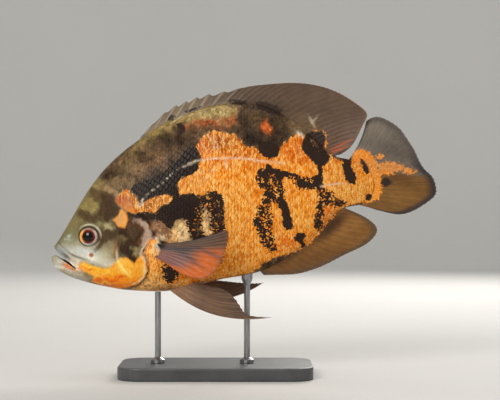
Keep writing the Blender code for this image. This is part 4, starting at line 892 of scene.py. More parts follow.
def fin_material():
    """Web and rays, with scaled orange or black skin running on to the base."""
    m, nt, b = material("oscar_fin")
    N = Nodes(nt)
    co = N.coords()
    n = nt.nodes.new("ShaderNodeCombineXYZ")
    N.wire(N.mul(N.attr("across"), 5.0), n.inputs[0])
    N.wire(N.mul(N.attr("along"), 7.0), n.inputs[1])
    N.wire(N.attr("far"), n.inputs[2])
    fib = N.noise(1.0, 3, 0.65, n.outputs[0], 4.0)
    mid = N.noise(430, 2, 0.6, co, 2.0)
    fine = N.noise(1000, 2, 0.65, co, 3.0)
    big = N.noise(120, 2, 0.5, co, 6.0)
    web, bone = N.attr("web", "Color"), N.attr("bone", "Color")
    col = N.mix(N.mul(N.attr("ray"), 0.75), web, bone)
    col = N.mix(N.step(fib, 0.50, 0.72, 0.0, 0.55), col, N.mix(1.0, col, (1.45, 1.42, 1.38), "MULTIPLY"))
    col = N.mix(N.step(fib, 0.48, 0.28, 0.0, 0.60), col, N.mix(1.0, col, (0.56, 0.52, 0.52), "MULTIPLY"))
    col = N.mix(N.step(big, 0.42, 0.66, 0.0, 0.35), col, N.mix(1.0, col, (0.68, 0.66, 0.66), "MULTIPLY"))
    jag = N.add(N.mul(N.math("SUBTRACT", mid, 0.5), 10.0), N.mul(N.math("SUBTRACT", fine, 0.5), 8.0))
    orange = N.mix(N.step(mid, 0.5, 0.7, 0.0, 0.6), N.attr("orange", "Color"), s3((0.98, 0.78, 0.50)))
    ok = N.step(N.add(N.attr("sd_orange"), jag), -0.5, 0.7)
    cells = N.voronoi(1000, "DISTANCE_TO_EDGE", co)
    orange = N.mix(N.mul(N.step(cells, 0.16, 0.04), 0.6), orange, s3((0.58, 0.36, 0.20)))
    col = N.mix(ok, col, orange)
    bk = N.step(N.add(N.attr("sd_black"), N.mul(jag, 0.6)), -0.6, 0.6)
    col = N.mix(bk, col, N.attr("black", "Color"))
    nt.links.new(col, b.inputs["Base Color"])
    nt.links.new(N.step(fib, 0.3, 0.7, 0.38, 0.55), b.inputs["Roughness"])
    b.inputs["Coat Weight"].default_value = 0.07
    b.inputs["Coat Roughness"].default_value = 0.3
    b.inputs["Specular IOR Level"].default_value = 0.16
    nt.links.new(N.bump(N.add(N.mul(fib, 0.8), N.mul(fine, 0.3)), 0.4, 0.0003), b.inputs["Normal"])
    return m


def eye_material():
    """Pupil, red-brown iris, pale ring; clear and wet."""
    m, nt, b = material("oscar_eye")
    N = Nodes(nt)
    r, x, z = N.attr("off_axis"), N.attr("ring_x"), N.attr("ring_z")
    co = N.coords()
    n1 = N.noise(600, 3, 0.6, co, 1.0)
    n2 = N.noise(1900, 2, 0.6, co, 2.0)
    rr = N.add(r, N.mul(N.math("SUBTRACT", n1, 0.5), 1.1))
    iris = N.mix(N.step(rr, 4.0, 6.6), s3((0.10, 0.022, 0.008)), s3((0.44, 0.15, 0.03)))
    iris = N.mix(N.mul(N.step(x, 0.35, 0.95), N.step(rr, 5.4, 6.6)), iris, s3((0.82, 0.42, 0.10)))
    iris = N.mix(N.step(n2, 0.48, 0.68, 0.0, 0.5), iris, N.mix(1.0, iris, (1.7, 1.5, 1.3), "MULTIPLY"))
    pale = N.mix(N.step(x, 0.2, 0.85), s3((0.90, 0.81, 0.77)), s3((0.95, 0.72, 0.36)))
    pale = N.mix(N.step(z, -0.45, -0.95), pale, s3((0.70, 0.68, 0.66)))
    pale = N.mix(N.mul(N.step(z, 0.55, 0.95), 0.75), pale, s3((0.48, 0.30, 0.20)))
    col = N.mix(N.step(rr, 6.5, 7.2), iris, pale)
    col = N.mix(N.step(r, 8.6, 9.6), col, s3((0.20, 0.15, 0.13)))
    col = N.mix(N.step(N.add(r, N.mul(N.math("SUBTRACT", n1, 0.5), 0.5)), 5.0, 4.0), col, (0.004, 0.003, 0.003))
    nt.links.new(col, b.inputs["Base Color"])
    nt.links.new(N.step(n2, 0.3, 0.7, 0.07, 0.12), b.inputs["Roughness"])
    b.inputs["Specular IOR Level"].default_value = 0.15
    b.inputs["Coat Weight"].default_value = 0.28
    b.inputs["Coat Roughness"].default_value = 0.02
    nt.links.new(N.bump(n1, 0.06, 0.0002), b.inputs["Normal"])
    return m


def paint_material():
    """Satin black paint on metal, thinner along the edges."""
    m, nt, b = material("black_paint")
    N = Nodes(nt)
    co = N.coords()
    grain = N.noise(2400, 2, 0.6, co, 1.0)
    tone = N.noise(45, 3, 0.55, co, 2.0)
    col = N.mix(N.step(tone, 0.35, 0.65), (0.040, 0.040, 0.044), (0.060, 0.060, 0.065))
    g = nt.nodes.new("ShaderNodeNewGeometry")
    edge = N.mul(N.step(g.outputs["Pointiness"], 0.53, 0.60), N.step(grain, 0.45, 0.62, 0.15, 0.55))
    col = N.mix(edge, col, (0.20, 0.20, 0.205))
    nt.links.new(col, b.inputs["Base Color"])
    nt.links.new(N.step(grain, 0.3, 0.7, 0.36, 0.48), b.inputs["Roughness"])
    nt.links.new(N.bump(grain, 0.25, 0.00012), b.inputs["Normal"])
    return m


def steel_material():
    m, nt, b = material("brushed_steel")
    N = Nodes(nt)
    brush = N.noise(1.0, 3, 0.7, N.coords((2600, 2600, 60)), 2.0)
    smear = N.noise(90, 2, 0.5, N.coords(), 5.0)
    col = N.mix(N.step(brush, 0.3, 0.7), s3((0.50, 0.50, 0.51)), s3((0.72, 0.72, 0.73)))
    col = N.mix(N.step(smear, 0.5, 0.8, 0.0, 0.25), col, s3((0.45, 0.44, 0.43)))
    nt.links.new(col, b.inputs["Base Color"])
    b.inputs["Metallic"].default_value = 1.0
    nt.links.new(N.add(N.mul(brush, 0.14), N.add(0.20, N.mul(smear, 0.10))), b.inputs["Roughness"])
    nt.links.new(N.bump(brush, 0.12, 0.0001), b.inputs["Normal"])
    return m


def paper_material():
    m, nt, b = material("paper")
    N = Nodes(nt)
    n = N.noise(3.0, 3, 0.5, None, 1.0)
    nt.links.new(N.mix(n, s3((0.80, 0.80, 0.79)), s3((0.83, 0.825, 0.815))), b.inputs["Base Color"])
    b.inputs["Roughness"].default_value = 0.8
    return m


skin_mat = coat_material("oscar_skin", False)
scale_mat = coat_material("oscar_scales", True)
fin_mat = fin_material()
eye_mat = eye_material()

# --------------------------------------------------------------------- skin
HEAD_T = KNOTS[12]
N_T1, N_T2, N_A = 210, 196, 238


def skin_grid():
    t1 = np.linspace(KNOTS[0], HEAD_T, N_T1, endpoint=False)
    t2 = np.linspace(HEAD_T, KNOTS[-1], N_T2)
    t = np.concatenate([t1, t2])
    # rows crowd a little towards the flanks' middle, where the face is
    s = np.linspace(0, 1, N_A, endpoint=False)
    a = math.pi + 2 * math.pi * s
    a = a + 0.10 * np.sin(2 * a)
    return t, a


t_row, a_row = skin_grid()
TT, AA = np.meshgrid(t_row, a_row, indexing="ij")
su, sv, sw, sp, sn = skin_at(TT, AA)
nT, nA = TT.shape
idx = np.arange(nT * nA).reshape(nT, nA)
nxt = np.roll(idx, -1, axis=1)
quads = np.stack([idx[:-1], nxt[:-1], nxt[1:], idx[1:]], -1).reshape(-1, 4)
verts = sp.reshape(-1, 3)
hubs = np.stack([sp[0].mean(0), sp[-1].mean(0)])
h0, h1 = nT * nA, nT * nA + 1
cap0 = np.stack([nxt[0], idx[0], np.full(nA, h0), np.full(nA, h0)], -1)
cap1 = np.stack([idx[-1], nxt[-1], np.full(nA, h1), np.full(nA, h1)], -1)
me = new_mesh("skin", np.vstack([verts, hubs]), np.vstack([quads, cap0, cap1]))
# unwrap: length along the fish across, distance round the body up
UV_T = 0.03 + 0.94 * (t_row - KNOTS[0]) / (KNOTS[-1] - KNOTS[0])


def unwrap(t, a):
    """The skin's own unwrap, cut along the belly."""
    x = 0.03 + 0.94 * (t - KNOTS[0]) / (KNOTS[-1] - KNOTS[0])
    y = 0.03 + 0.94 * np.mod(a - math.pi, 2 * math.pi) / (2 * math.pi)
    return np.stack([x, y], -1)


uvv = np.concatenate([unwrap(TT, AA).reshape(-1, 2), [[0.015, 0.5], [0.985, 0.5]]])
lv = loop_verts(me)
luv = uvv[lv]
ps = np.empty(len(me.polygons), np.int32)
me.polygons.foreach_get("loop_start", ps)
pt = np.empty(len(me.polygons), np.int32)
me.polygons.foreach_get("loop_total", pt)
poly_of = np.repeat(np.arange(len(ps)), pt)
hi = np.zeros(len(ps))
np.maximum.at(hi, poly_of, luv[:, 1])
wrap = (hi[poly_of] > 0.8) & (luv[:, 1] < 0.2)
luv[wrap, 1] += 0.94
set_uv(me, luv)
skin = piece("skin", me, skin_mat)
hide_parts("head", "upper_jaw", "lower_jaw", "gill_cover_left", "gill_cover_right", "trunk", "tail_stalk")
_m = markings(np.append(su, [su[0].mean(), su[-1].mean()]), np.append(sv, [sv[0].mean(), sv[-1].mean()]),
              np.append(sw, [0.0, 0.0]))
# dark inside the lips: flesh colour, darkened further as painted shade of the open mouth
_in = np.append(1 - ramp(TT, KNOTS[1] * 0.4, KNOTS[2] + 0.35 * (KNOTS[3] - KNOTS[2])), [1.0, 0.0])
_m["ground"] = over(_m["ground"], lin((0.16, 0.09, 0.075)), 0.95 * _in)
set_marks(me, _m, np.zeros(len(me.vertices)), np.zeros(len(me.vertices)))
print("skin", len(me.polygons), "faces", sum(pt - 2), "triangles")

# --------------------------------------------------------------------- eyes
AXIS_TILT = math.radians(5)


def eye(name, side):
    rings, seg = 44, 72
    th = np.linspace(0, math.pi, rings)
    ph = np.linspace(0, 2 * math.pi, seg, endpoint=False)
    T, P = np.meshgrid(th[1:-1], ph, indexing="ij")
    r = EYE_R * UNIT * (1 - 0.012) + 0.22 * MM * (1 - ramp(np.degrees(T), 22, 44))
    loc = np.stack([np.sin(T) * np.cos(P), np.cos(T), np.sin(T) * np.sin(P)], -1) * r[..., None]
    pole0, pole1 = np.array([0, 1, 0]) * (EYE_R * UNIT * 0.988 + 0.22 * MM), np.array([0, -1, 0]) * EYE_R * UNIT * 0.988
    pts = np.vstack([loc.reshape(-1, 3), pole0, pole1])
    k = AXIS_TILT
    axis = np.array([-math.sin(k), side * math.cos(k), 0.045])
    axis /= np.linalg.norm(axis)
    ex = np.cross(axis, [0, 0, 1]); ex /= np.linalg.norm(ex)
    ez = np.cross(ex, axis)
    if side > 0:
        ex = -ex
    M = np.stack([ex, axis, ez])
    c = place(np.array(EYE_U + 1.4), np.array(EYE_V - 0.8), np.array(side * EYE_W))
    pts = pts @ M + c
    n = (rings - 2) * seg
    ids = np.arange(n).reshape(rings - 2, seg)
    nx = np.roll(ids, -1, axis=1)
    q = np.stack([ids[:-1], ids[1:], nx[1:], nx[:-1]], -1).reshape(-1, 4)
    f0 = np.stack([nx[0], np.full(seg, n), np.full(seg, n), ids[0]], -1)[:, [0, 3, 1, 1]]
    f1 = np.stack([ids[-1], nx[-1], np.full(seg, n + 1), np.full(seg, n + 1)], -1)
    me = new_mesh(name, pts, np.vstack([q, f0, f1]))
    bm = bmesh.new(); bm.from_mesh(me)
    bmesh.ops.recalc_face_normals(bm, faces=bm.faces)
    bm.to_mesh(me); bm.free()
    me.shade_smooth()
    ang = np.concatenate([T.ravel(), [0.0, math.pi]])
    az = np.concatenate([P.ravel(), [0.0, 0.0]])
    set_float(me, "off_axis", np.sin(np.minimum(ang, math.pi / 2)) * EYE_R + (ang > math.pi / 2) * 8)
    set_float(me, "ring_x", np.cos(az))
    set_float(me, "ring_z", np.sin(az))
    rad = ang / math.pi * 0.45
    uv = np.stack([0.5 + rad * np.cos(az), 0.5 + rad * np.sin(az)], -1)
    set_uv(me, uv[loop_verts(me)])
    ob = piece(name + "_ball", me, eye_mat)
    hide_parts(name)
    return ob


eye("eye_left", -1)
eye("eye_right", 1)

# --------------------------------------------------------------------- fins
DORSAL = (
    (138, 143, 141, 136.6, 0), (146, 137, 154, 122.4, 0), (158, 129.5, 170, 108.6, 0),
    (170, 123.5, 183, 102.4, 0), (184, 118, 196, 97.6, 0), (200, 112, 211, 93.8, 0),
    (215, 107.6, 230, 90.4, 0), (230, 105.6, 249, 86.4, -1), (245, 105.6, 272, 83.8, -2),
    (259, 108, 297, 82.8, -3), (272, 113, 321, 86.2, -4), (284, 120, 341, 93.8, -4),
    (295, 128, 357, 104, -5), (305, 136.5, 366.8, 113.6, -5), (313, 144, 364, 123, -4),
    (320, 150, 357.6, 136, -3), (326, 154.5, 350, 147.6, -2), (330, 159, 340, 154.6, -1),
)
ANAL = (
    (258, 269, 264, 275.2, 0), (267, 265.6, 280, 274.8, 0), (276, 260.6, 296, 274, 1),
    (286, 254.8, 312, 270, 2), (295, 248.6, 327, 264, 3), (303, 242, 342, 256.2, 3),
    (310, 235.4, 356, 249.6, 4), (316.5, 228.6, 368, 243, 4), (322, 222, 376.6, 233.4, 3),
    (326, 216, 375, 224.6, 2), (328, 212, 364, 216.4, 1), (330, 208, 353, 211.4, 0),
    (332, 204, 342, 206.6, 0),
)
CAUDAL = (
    (346, 163, 366.4, 121, 3), (350, 164, 372, 117.2, 3), (353, 166, 380.4, 116.6, 2),
    (356, 168, 391, 121.2, 2), (358, 170.4, 401, 129, 1), (359.5, 173.2, 409, 140.4, 1),
    (360.5, 176.4, 415, 150, 0), (361, 179.6, 419.8, 160.6, 0), (361.4, 182.8, 426, 170, 0),
    (361.4, 186, 433, 177, -1), (361, 189, 436.6, 187.6, -1), (360.4, 192, 435, 196, -1),
    (359, 195, 425.6, 203.8, -1), (357, 197.8, 413, 211.2, -1), (354.5, 200.2, 400, 214.5, -1),
    (351, 202, 388, 212.8, -1), (347, 203, 376, 209.8, -1),
)
PECTORAL = (
    (150, 242.4, 226.4, 228.4, 4.5), (150, 243.4, 229.6, 230.6, 4), (150, 244.4, 229.4, 236.4, 3),
    (150, 245.4, 228.4, 243, 1.5), (150, 246.4, 226, 250.6, 0), (150, 247.4, 222, 260, -1),
    (150, 248.4, 216, 269.6, -2), (150, 249.4, 205, 276.4, -2), (150, 250.6, 190, 274.4, -1.5),
    (150, 252.0, 175, 266.6, -1),
)
PELVIC = (
    (166, 286.0, 272, 315.6, 13), (170, 285.6, 254, 314.6, 10.5), (174, 285.0, 245, 311, 8),
    (178, 284.2, 240, 304, 5), (182, 283.2, 233, 294.6, 3), (186, 281.8, 223, 288, 1.5),
    (190, 280, 208, 284, 0.5),
)
PELVIC_FAR = (
    (166, 286.0, 264, 283.4, 16), (170, 285.6, 257, 284, 13), (174, 285.0, 249, 284, 10),
    (178, 284.2, 240, 283.4, 7), (182, 283.2, 231, 282.6, 4), (186, 281.8, 221, 281.6, 2),
    (190, 280, 208, 281, 0.5),
)


def dorsal_lean(a, b):
    return 0.5 * np.sin(9 * a) * b * b + 6.0 * ramp(a, 0.55, 0.95) * b ** 1.3


def anal_lean(a, b):
    return 0.6 * np.sin(7 * a) * b * b + 1.5 * ramp(a, 0.4, 0.9) * b ** 1.3


def caudal_lean(a, b):
    return -3.4 * (1 - ramp(a, 0.0, 0.7)) * b + 2.2 * ramp(a, 0.5, 1.0) * b * b


def pectoral_lean(a, b):
    out = 34.0 - 13.0 * ramp(a, 0.05, 0.55) - 8.0 * ramp(a, 0.4, 1.0)
    return 29.5 - 1.5 * a + out * b + 3.0 * np.sin(math.pi * b)


def pelvic_lean(a, b):
    return 9.5 + 1.6 * a + 12.0 * b * (1 - 0.35 * a) + 3.0 * np.sin(math.pi * b)


def pelvic_far_lean(a, b):
    return 9.5 + 1.6 * a + 8.5 * b * (1 - 0.3 * a) + 4.0 * np.sin(math.pi * b)


def fin_uv(rays, a, b):
    g = spline(np.linspace(0, 1, len(rays)), np.array(rays, float), a)
    ru, rv, tu, tv, bow = np.moveaxis(g, -1, 0)
    du, dv = tu - ru, tv - rv
    long = np.hypot(du, dv) + 1e-9
    lift = bow * 4 * b * (1 - b)
    return ru + du * b - dv / long * lift, rv + dv * b + du / long * lift, long


def ridge(x, sharp):
    """1 on every whole number, falling away between them."""
    return np.exp(-((np.mod(x + 0.5, 1.0) - 0.5) / sharp) ** 2)


def fin(name, rays, lean, n_a, n_b, count, side=-1, web=0.17, bone=0.30, root=0.9, spiny=0.0,
        lobes=0, dip=0.0, start=0.0, ruffle=0.0, soft_from=0.0):
    """A closed fin of web and rays: two faces joined round a thin rim."""
    ga, gb = np.linspace(0, 1, n_a), np.linspace(0, 1, n_b) ** 0.9
    A, B = np.meshgrid(ga, gb, indexing="ij")
    x = A * count
    cut = np.zeros_like(A)
    if lobes:
        fade = 1 - ramp(A, spiny - 0.10, spiny)
        cut = dip * (1 - ridge(A * lobes, 0.30)) * fade * B ** 3
    fringe = 0.012 * (1 - ridge(x * 2, 0.28)) * ramp(A, spiny - 0.05, spiny + 0.05) * B ** 8
    reach = B * (1 - cut - fringe)
    u, v, long = fin_uv(rays, A, reach)
    w = lean(A, reach)
    mid = place(u, v, side * w)
    # normals of the middle sheet
    d1 = np.gradient(mid, axis=0)
    d2 = np.gradient(mid, axis=1)
    n = np.cross(d1, d2)
    n /= np.linalg.norm(n, axis=-1, keepdims=True) + 1e-18
    n = n * np.where((n[..., 1:2] * side) >= 0, 1, -1)
    soft = ramp(A, spiny - 0.04, spiny + 0.03) if spiny else np.ones_like(A)
    split = ramp(reach, 0.38, 0.62)
    one = ridge(x, 0.17)
    two = np.maximum(ridge(x + 0.16, 0.10), ridge(x - 0.16, 0.10))
    soft_ray = one * (1 - split) + two * split
    spine = ridge(A * (lobes or count), 0.16)
    rays_h = bone * (0.62 * soft_ray * soft * (1 - 0.75 * reach) + spine * (1 - soft) * 1.5 * (1 - 0.5 * reach))
    fillet = root * np.exp(-(reach * long / 5.0) ** 1.3)
    edge = np.minimum(1.0, (1 - B) / 0.02 + 0.35) * np.minimum(1.0, np.minimum(A, 1 - A) / 0.012 + 0.45)
    half = (web * (1 - 0.45 * reach) + rays_h + fillet) * edge * MM
    if ruffle:
        mid = mid + n * (ruffle * MM * np.sin(2 * math.pi * x) * ramp(reach, 0.1, 0.5) * (1 - 0.3 * reach))[..., None]
    front, back = mid + n * half[..., None], mid - n * half[..., None]
    m = n_a * n_b
    i0 = np.arange(m).reshape(n_a, n_b)
    i1 = i0 + m
    q0 = np.stack([i0[:-1, :-1], i0[1:, :-1], i0[1:, 1:], i0[:-1, 1:]], -1).reshape(-1, 4)
    q1 = np.stack([i1[:-1, :-1], i1[:-1, 1:], i1[1:, 1:], i1[1:, :-1]], -1).reshape(-1, 4)
    ring = np.concatenate([np.stack([np.arange(n_a), np.zeros(n_a, int)], 1),
                           np.stack([np.full(n_b - 1, n_a - 1), np.arange(1, n_b)], 1),
                           np.stack([np.arange(n_a - 2, -1, -1), np.full(n_a - 1, n_b - 1)], 1),
                           np.stack([np.zeros(n_b - 2, int), np.arange(n_b - 2, 0, -1)], 1)])
    r0 = i0[ring[:, 0], ring[:, 1]]
    r1 = i1[ring[:, 0], ring[:, 1]]
    s0, s1 = np.roll(r0, -1), np.roll(r1, -1)
    q2 = np.stack([s0, r0, r1, s1], -1)
    me = new_mesh(name, np.concatenate([front.reshape(-1, 3), back.reshape(-1, 3)]), np.vstack([q0, q1, q2]))
    bm = bmesh.new(); bm.from_mesh(me)
    bmesh.ops.recalc_face_normals(bm, faces=bm.faces)
    bm.to_mesh(me); bm.free()
    me.shade_smooth()
    both = lambda z: np.concatenate([np.ravel(z), np.ravel(z)])
    info = dict(u=both(u), v=both(v), w=both(side * w), a=both(A), b=both(reach), x=both(x),
                ray=both(soft_ray * soft + spine * (1 - soft)), edge=both(1 - B), long=both(long),
                far=np.concatenate([np.zeros(m), np.ones(m)]), fine=both(soft))
    uv = np.concatenate([np.stack([0.02 + 0.96 * A, 0.02 + 0.46 * B], -1).reshape(-1, 2),
                         np.stack([0.02 + 0.96 * A, 0.98 - 0.46 * B], -1).reshape(-1, 2)])
    set_uv(me, uv[loop_verts(me)])
    ob = piece(name + "_rayed", me, fin_mat)
    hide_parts(name)
    print(name, len(me.polygons))
    return ob, info


FINS = {}
FINS["dorsal_fin"] = fin("dorsal_fin", DORSAL, dorsal_lean, 421, 56, 42, spiny=0.42, lobes=21, dip=0.17,
                         root=1.7, web=0.20, bone=0.30, ruffle=0.06)
FINS["anal_fin"] = fin("anal_fin", ANAL, anal_lean, 241, 50, 20, root=1.5, web=0.20, bone=0.30, ruffle=0.06)
FINS["caudal_fin"] = fin("caudal_fin", CAUDAL, caudal_lean, 241, 72, 20, root=0.9, web=0.20, bone=0.28, ruffle=0.08)
for _s, _n in ((-1, "left"), (1, "right")):
    FINS["pectoral_fin_" + _n] = fin("pectoral_fin_" + _n, PECTORAL, pectoral_lean, 181, 60, 14, side=_s,
                                     root=0.35, web=0.13, bone=0.22, ruffle=0.16)
FINS["pelvic_fin_left"] = fin("pelvic_fin_left", PELVIC, pelvic_lean, 85, 84, 6, side=-1, root=0.6, web=0.16,
                              bone=0.34, ruffle=0.22)
FINS["pelvic_fin_right"] = fin("pelvic_fin_right", PELVIC_FAR, pelvic_far_lean, 85, 84, 6, side=1, root=0.6,
                               web=0.16, bone=0.34, ruffle=0.22)

# ------------------------------------------------------------ paint the fins
def fin_colors(name, i):
    """Web and ray colours over one fin, from the drawing's own places."""
    u, v, a, b = i["u"], i["v"], i["a"], i["b"]
    shape = np.shape(u)
    web, bone = np.zeros(shape + (3,)), np.zeros(shape + (3,))
    e = (1 - b) * i["long"]
    if name == "dorsal_fin":
        web = web + lin((0.46, 0.41, 0.37))
        web = over(web, lin((0.60, 0.575, 0.53)), 1 - ramp(a, 0.16, 0.46))
        web = over(web, lin((0.40, 0.345, 0.315)), 0.8 * ramp(a, 0.36, 0.60))
        web = over(web, lin((0.49, 0.42, 0.37)), 0.6 * wash(u, v, 300, 96, 60, 10, 6, 3))
        web = over(web, lin((0.45, 0.385, 0.335)), 0.7 * wash(u, v, 342, 116, 26, 24, 30, 3))
        web = over(web, lin((0.49, 0.42, 0.33)), 0.75 * wash(u, v, 308, 124, 26, 9, 40, 3))
        web = over(web, lin((0.42, 0.33, 0.26)), 0.6 * wash(u, v, 336, 140, 18, 8, -20, 3))
        web = over(web, lin((0.55, 0.48, 0.42)), 0.6 * (1 - ramp(e, 0.6, 3.0)) * ramp(a, 0.4, 0.5))
        web = over(web, lin((0.60, 0.36, 0.22)), 0.5 * (1 - ramp(e, 0.4, 2.2)) * bump1(a, 0.66, 0.1))
        web = over(web, lin((0.20, 0.17, 0.16)), 0.5 * (1 - ramp(e, 2.0, 6.0)) * ramp(a, 0.86, 0.93))
        for q in ((338, 146, 12, 0.9, -24), (341, 149.4, 11, 0.9, -22), (334, 151, 8, 0.8, -20), (345, 143, 9, 0.7, -28)):
            web = over(web, lin((0.78, 0.38, 0.17)), 0.85 * wash(u, v, *q))
        bone = over(web, lin((0.80, 0.78, 0.73)), 0.75 * (1 - ramp(a, 0.30, 0.48)))
        bone = over(bone, lin((0.27, 0.22, 0.20)), 0.16 * ramp(a, 0.42, 0.55))
        web = over(web, lin((0.90, 0.88, 0.82)), 0.8 * wash(u, v, 312, 122, 1.4, 6, -28, 3))
        web = over(web, lin((0.90, 0.88, 0.82)), 0.7 * wash(u, v, 315, 119, 1.2, 5, 40, 3))
        bone = over(bone, lin((0.90, 0.88, 0.82)), 0.7 * wash(u, v, 312, 122, 1.4, 6, -28, 3))
    elif name == "anal_fin":
        web = web + lin((0.56, 0.44, 0.28))
        web = over(web, lin((0.62, 0.50, 0.34)), 0.7 * wash(u, v, 346, 226, 22, 8, -30, 3))
        web = over(web, lin((0.27, 0.20, 0.155)), 0.95 * wash(u, v, 331, 226, 22, 7.5, -42, 3))
        web = over(web, lin((0.33, 0.26, 0.20)), 0.8 * wash(u, v, 296, 250, 30, 6.5, -38, 3))
        web = over(web, lin((0.40, 0.30, 0.22)), 0.6 * wash(u, v, 310, 262, 40, 9, -20, 3))
        web = over(web, lin((0.40, 0.36, 0.35)), 0.9 * (1 - ramp(e, 3.0, 11.0)))
        web = over(web, lin((0.50, 0.47, 0.46)), 0.6 * (1 - ramp(e, 0.4, 2.2)))
        web = over(web, lin((0.74, 0.66, 0.54)), 0.8 * ramp(a, 0.955, 0.99) * ramp(b, 0.25, 0.5))
        bone = over(web, lin((0.30, 0.23, 0.18)), 0.35)
    elif name == "caudal_fin":
        low = ramp(v - 0.12 * (u - 380), 167.5, 174.0)
        web = web + lin((0.45, 0.455, 0.46))
        web = over(web, lin((0.54, 0.55, 0.545)), 0.7 * wash(u, v, 374, 128, 18, 12, 30, 3))
        web = over(web, lin((0.38, 0.37, 0.38)), 0.6 * wash(u, v, 396, 150, 18, 7, 20, 3))
        web = over(web, lin((0.62, 0.63, 0.62)), 0.5 * wash(u, v, 356, 152, 12, 8, 0, 3))
        web = over(web, lin((0.50, 0.385, 0.22)), low)
        web = over(web, lin((0.40, 0.29, 0.16)), low * 0.6 * wash(u, v, 398, 178, 16, 6, 20, 3))
        web = over(web, lin((0.58, 0.45, 0.25)), low * 0.7 * wash(u, v, 396, 196, 24, 9, 10, 3))
        web = over(web, lin((0.235, 0.25, 0.30)), 0.92 * (1 - ramp(e, 2.0, 12.0)) * ramp(a, 0.30, 0.5))
        web = over(web, lin((0.33, 0.34, 0.36)), 0.7 * (1 - ramp(e, 2.0, 9.0)) * (1 - ramp(a, 0.30, 0.5)))
        web = over(web, lin((0.60, 0.62, 0.66)), 0.75 * (1 - ramp(e, 0.5, 1.7)))
        bone = over(web, lin((0.26, 0.21, 0.17)), 0.30 + 0.12 * low)
    elif name.startswith("pectoral"):
        web = web + lin((0.50, 0.42, 0.39))
        web = over(web, lin((0.46, 0.39, 0.36)), 0.9 * (1 - ramp(a, 0.22, 0.5)))
        web = over(web, lin((0.30, 0.32, 0.40)), 0.9 * bump1(a, 0.42, 0.10) * (1 - ramp(b, 0.5, 0.85)))
        web = over(web, lin((0.58, 0.42, 0.44)), 0.9 * ramp(a, 0.48, 0.66) * (1 - ramp(b, 0.6, 0.85)))
        web = over(web, lin((0.90, 0.47, 0.20)), 0.95 * ramp(a, 0.30, 0.50) * ramp(b, 0.52, 0.80))
        web = over(web, lin((0.44, 0.32, 0.27)), 0.8 * (1 - ramp(a, 0.15, 0.5)) * ramp(b, 0.72, 0.95))
        web = over(web, lin((0.60, 0.40, 0.30)), 0.6 * ramp(b, 0.93, 1.0))
        for q in ((196, 238, 26, 2.6, -10), (212, 252, 20, 2.4, 24), (190, 256, 18, 2.2, 34)):
            web = over(web, lin((0.33, 0.32, 0.37)), 0.7 * wash(u, v, *q, 2))
        bone = over(web, lin((0.74, 0.64, 0.60)), 0.26)
        bone = over(bone, lin((0.16, 0.14, 0.17)), 0.85 * (1 - ramp(a, 0.02, 0.05)))
        dark = ramp(b, 0.08, 0.12) * (1 - ramp(b, 0.18, 0.25)) * bump1(a, 0.25, 0.22)
        white = 1 - ramp(b, 0.06, 0.13)
        for z in (web, bone):
            z[...] = over(z, lin((0.86, 0.84, 0.86)), 0.9 * white)
            z[...] = over(z, lin((0.12, 0.11, 0.13)), 0.95 * dark)
    else:
        web = web + lin((0.47, 0.37, 0.31))
        web = over(web, lin((0.62, 0.47, 0.36)), 0.7 * (1 - ramp(b, 0.1, 0.4)))
        web = over(web, lin((0.34, 0.27, 0.25)), 0.7 * ramp(b, 0.55, 0.95))
        bone = over(web, lin((0.76, 0.66, 0.58)), 0.36)
        bone = over(bone, lin((0.86, 0.82, 0.78)), 0.8 * (1 - ramp(a, 0.03, 0.10)))
    warm = np.array((1.0, 0.90, 0.76)) * 0.80
    if name == "dorsal_fin":
        warm = warm * np.array((0.77, 0.72, 0.70)) * (1 - 0.22 * bump1(u, 262, 46) * (v < 112))[..., None]
        warm = warm * (1 + 0.13 * ramp(a, 0.36, 0.5) + 0.16 * ramp(a, 0.72, 0.88))[..., None]
    elif name == "anal_fin":
        warm = warm * np.array((1.06, 0.88, 0.62))
    elif name == "caudal_fin":
        warm = warm * np.array((1.08, 0.99, 0.92)) * (1 - 0.22 * (1 - ramp(e, 2.0, 12.0)) * ramp(a, 0.30, 0.5))[..., None]
    elif name.startswith("pectoral"):
        warm = warm * 1.0
    return web * warm, bone * warm


for _name, (_ob, _i) in FINS.items():
    _web, _bone = fin_colors(_name, _i)
    _m = markings(_i["u"], _i["v"], _i["w"])
    _near = np.exp(-(_i["b"] * _i["long"] / 3.4) ** 1.5)
    if _name.startswith(("pectoral", "pelvic")):
        _m["sd_orange"], _m["sd_black"] = _m["sd_orange"] * 0 - 8, _m["sd_black"] * 0 - 8
        _near = _near * 0
    elif _name == "anal_fin":
        _far = _i["b"] * _i["long"] - 9.0
        _m["sd_orange"] = np.minimum(_m["sd_orange"], -_far)
        _m["sd_black"] = np.minimum(_m["sd_black"], -_far - 4)
    _me = _ob.data
    for _k in ("sd_orange", "sd_black"):
        set_float(_me, _k, _m[_k])
    for _k in ("orange", "black"):
        set_color(_me, _k, _m[_k].reshape(-1, 3))
    _base = 0.75 * _near if _name != "caudal_fin" else 0.5 * _near
    set_color(_me, "web", over(_web, _m["ground"], _base).reshape(-1, 3))
    set_color(_me, "bone", over(_bone, _m["ground"], _base).reshape(-1, 3))
    set_float(_me, "ray", _i["ray"] * (1 - _near))
    set_float(_me, "across", _i["x"])
    set_float(_me, "along", _i["b"] * _i["long"] / 40.0)
    set_float(_me, "far", _i["far"] * 7.0)

# ------------------------------------------------------------------- scales
NAPE = ((99, 150), (101, 172), (101, 182), (107, 190), (118, 197), (130, 202.6), (136, 211), (141.4, 216.6),
        (148.4, 223), (153.4, 233), (151.4, 240.4), (147.4, 247), (146.4, 254), (149.4, 262), (150, 270),
        (146.6, 278), (138.6, 285.4), (130, 292), (120, 304))
F_REF = 0.42


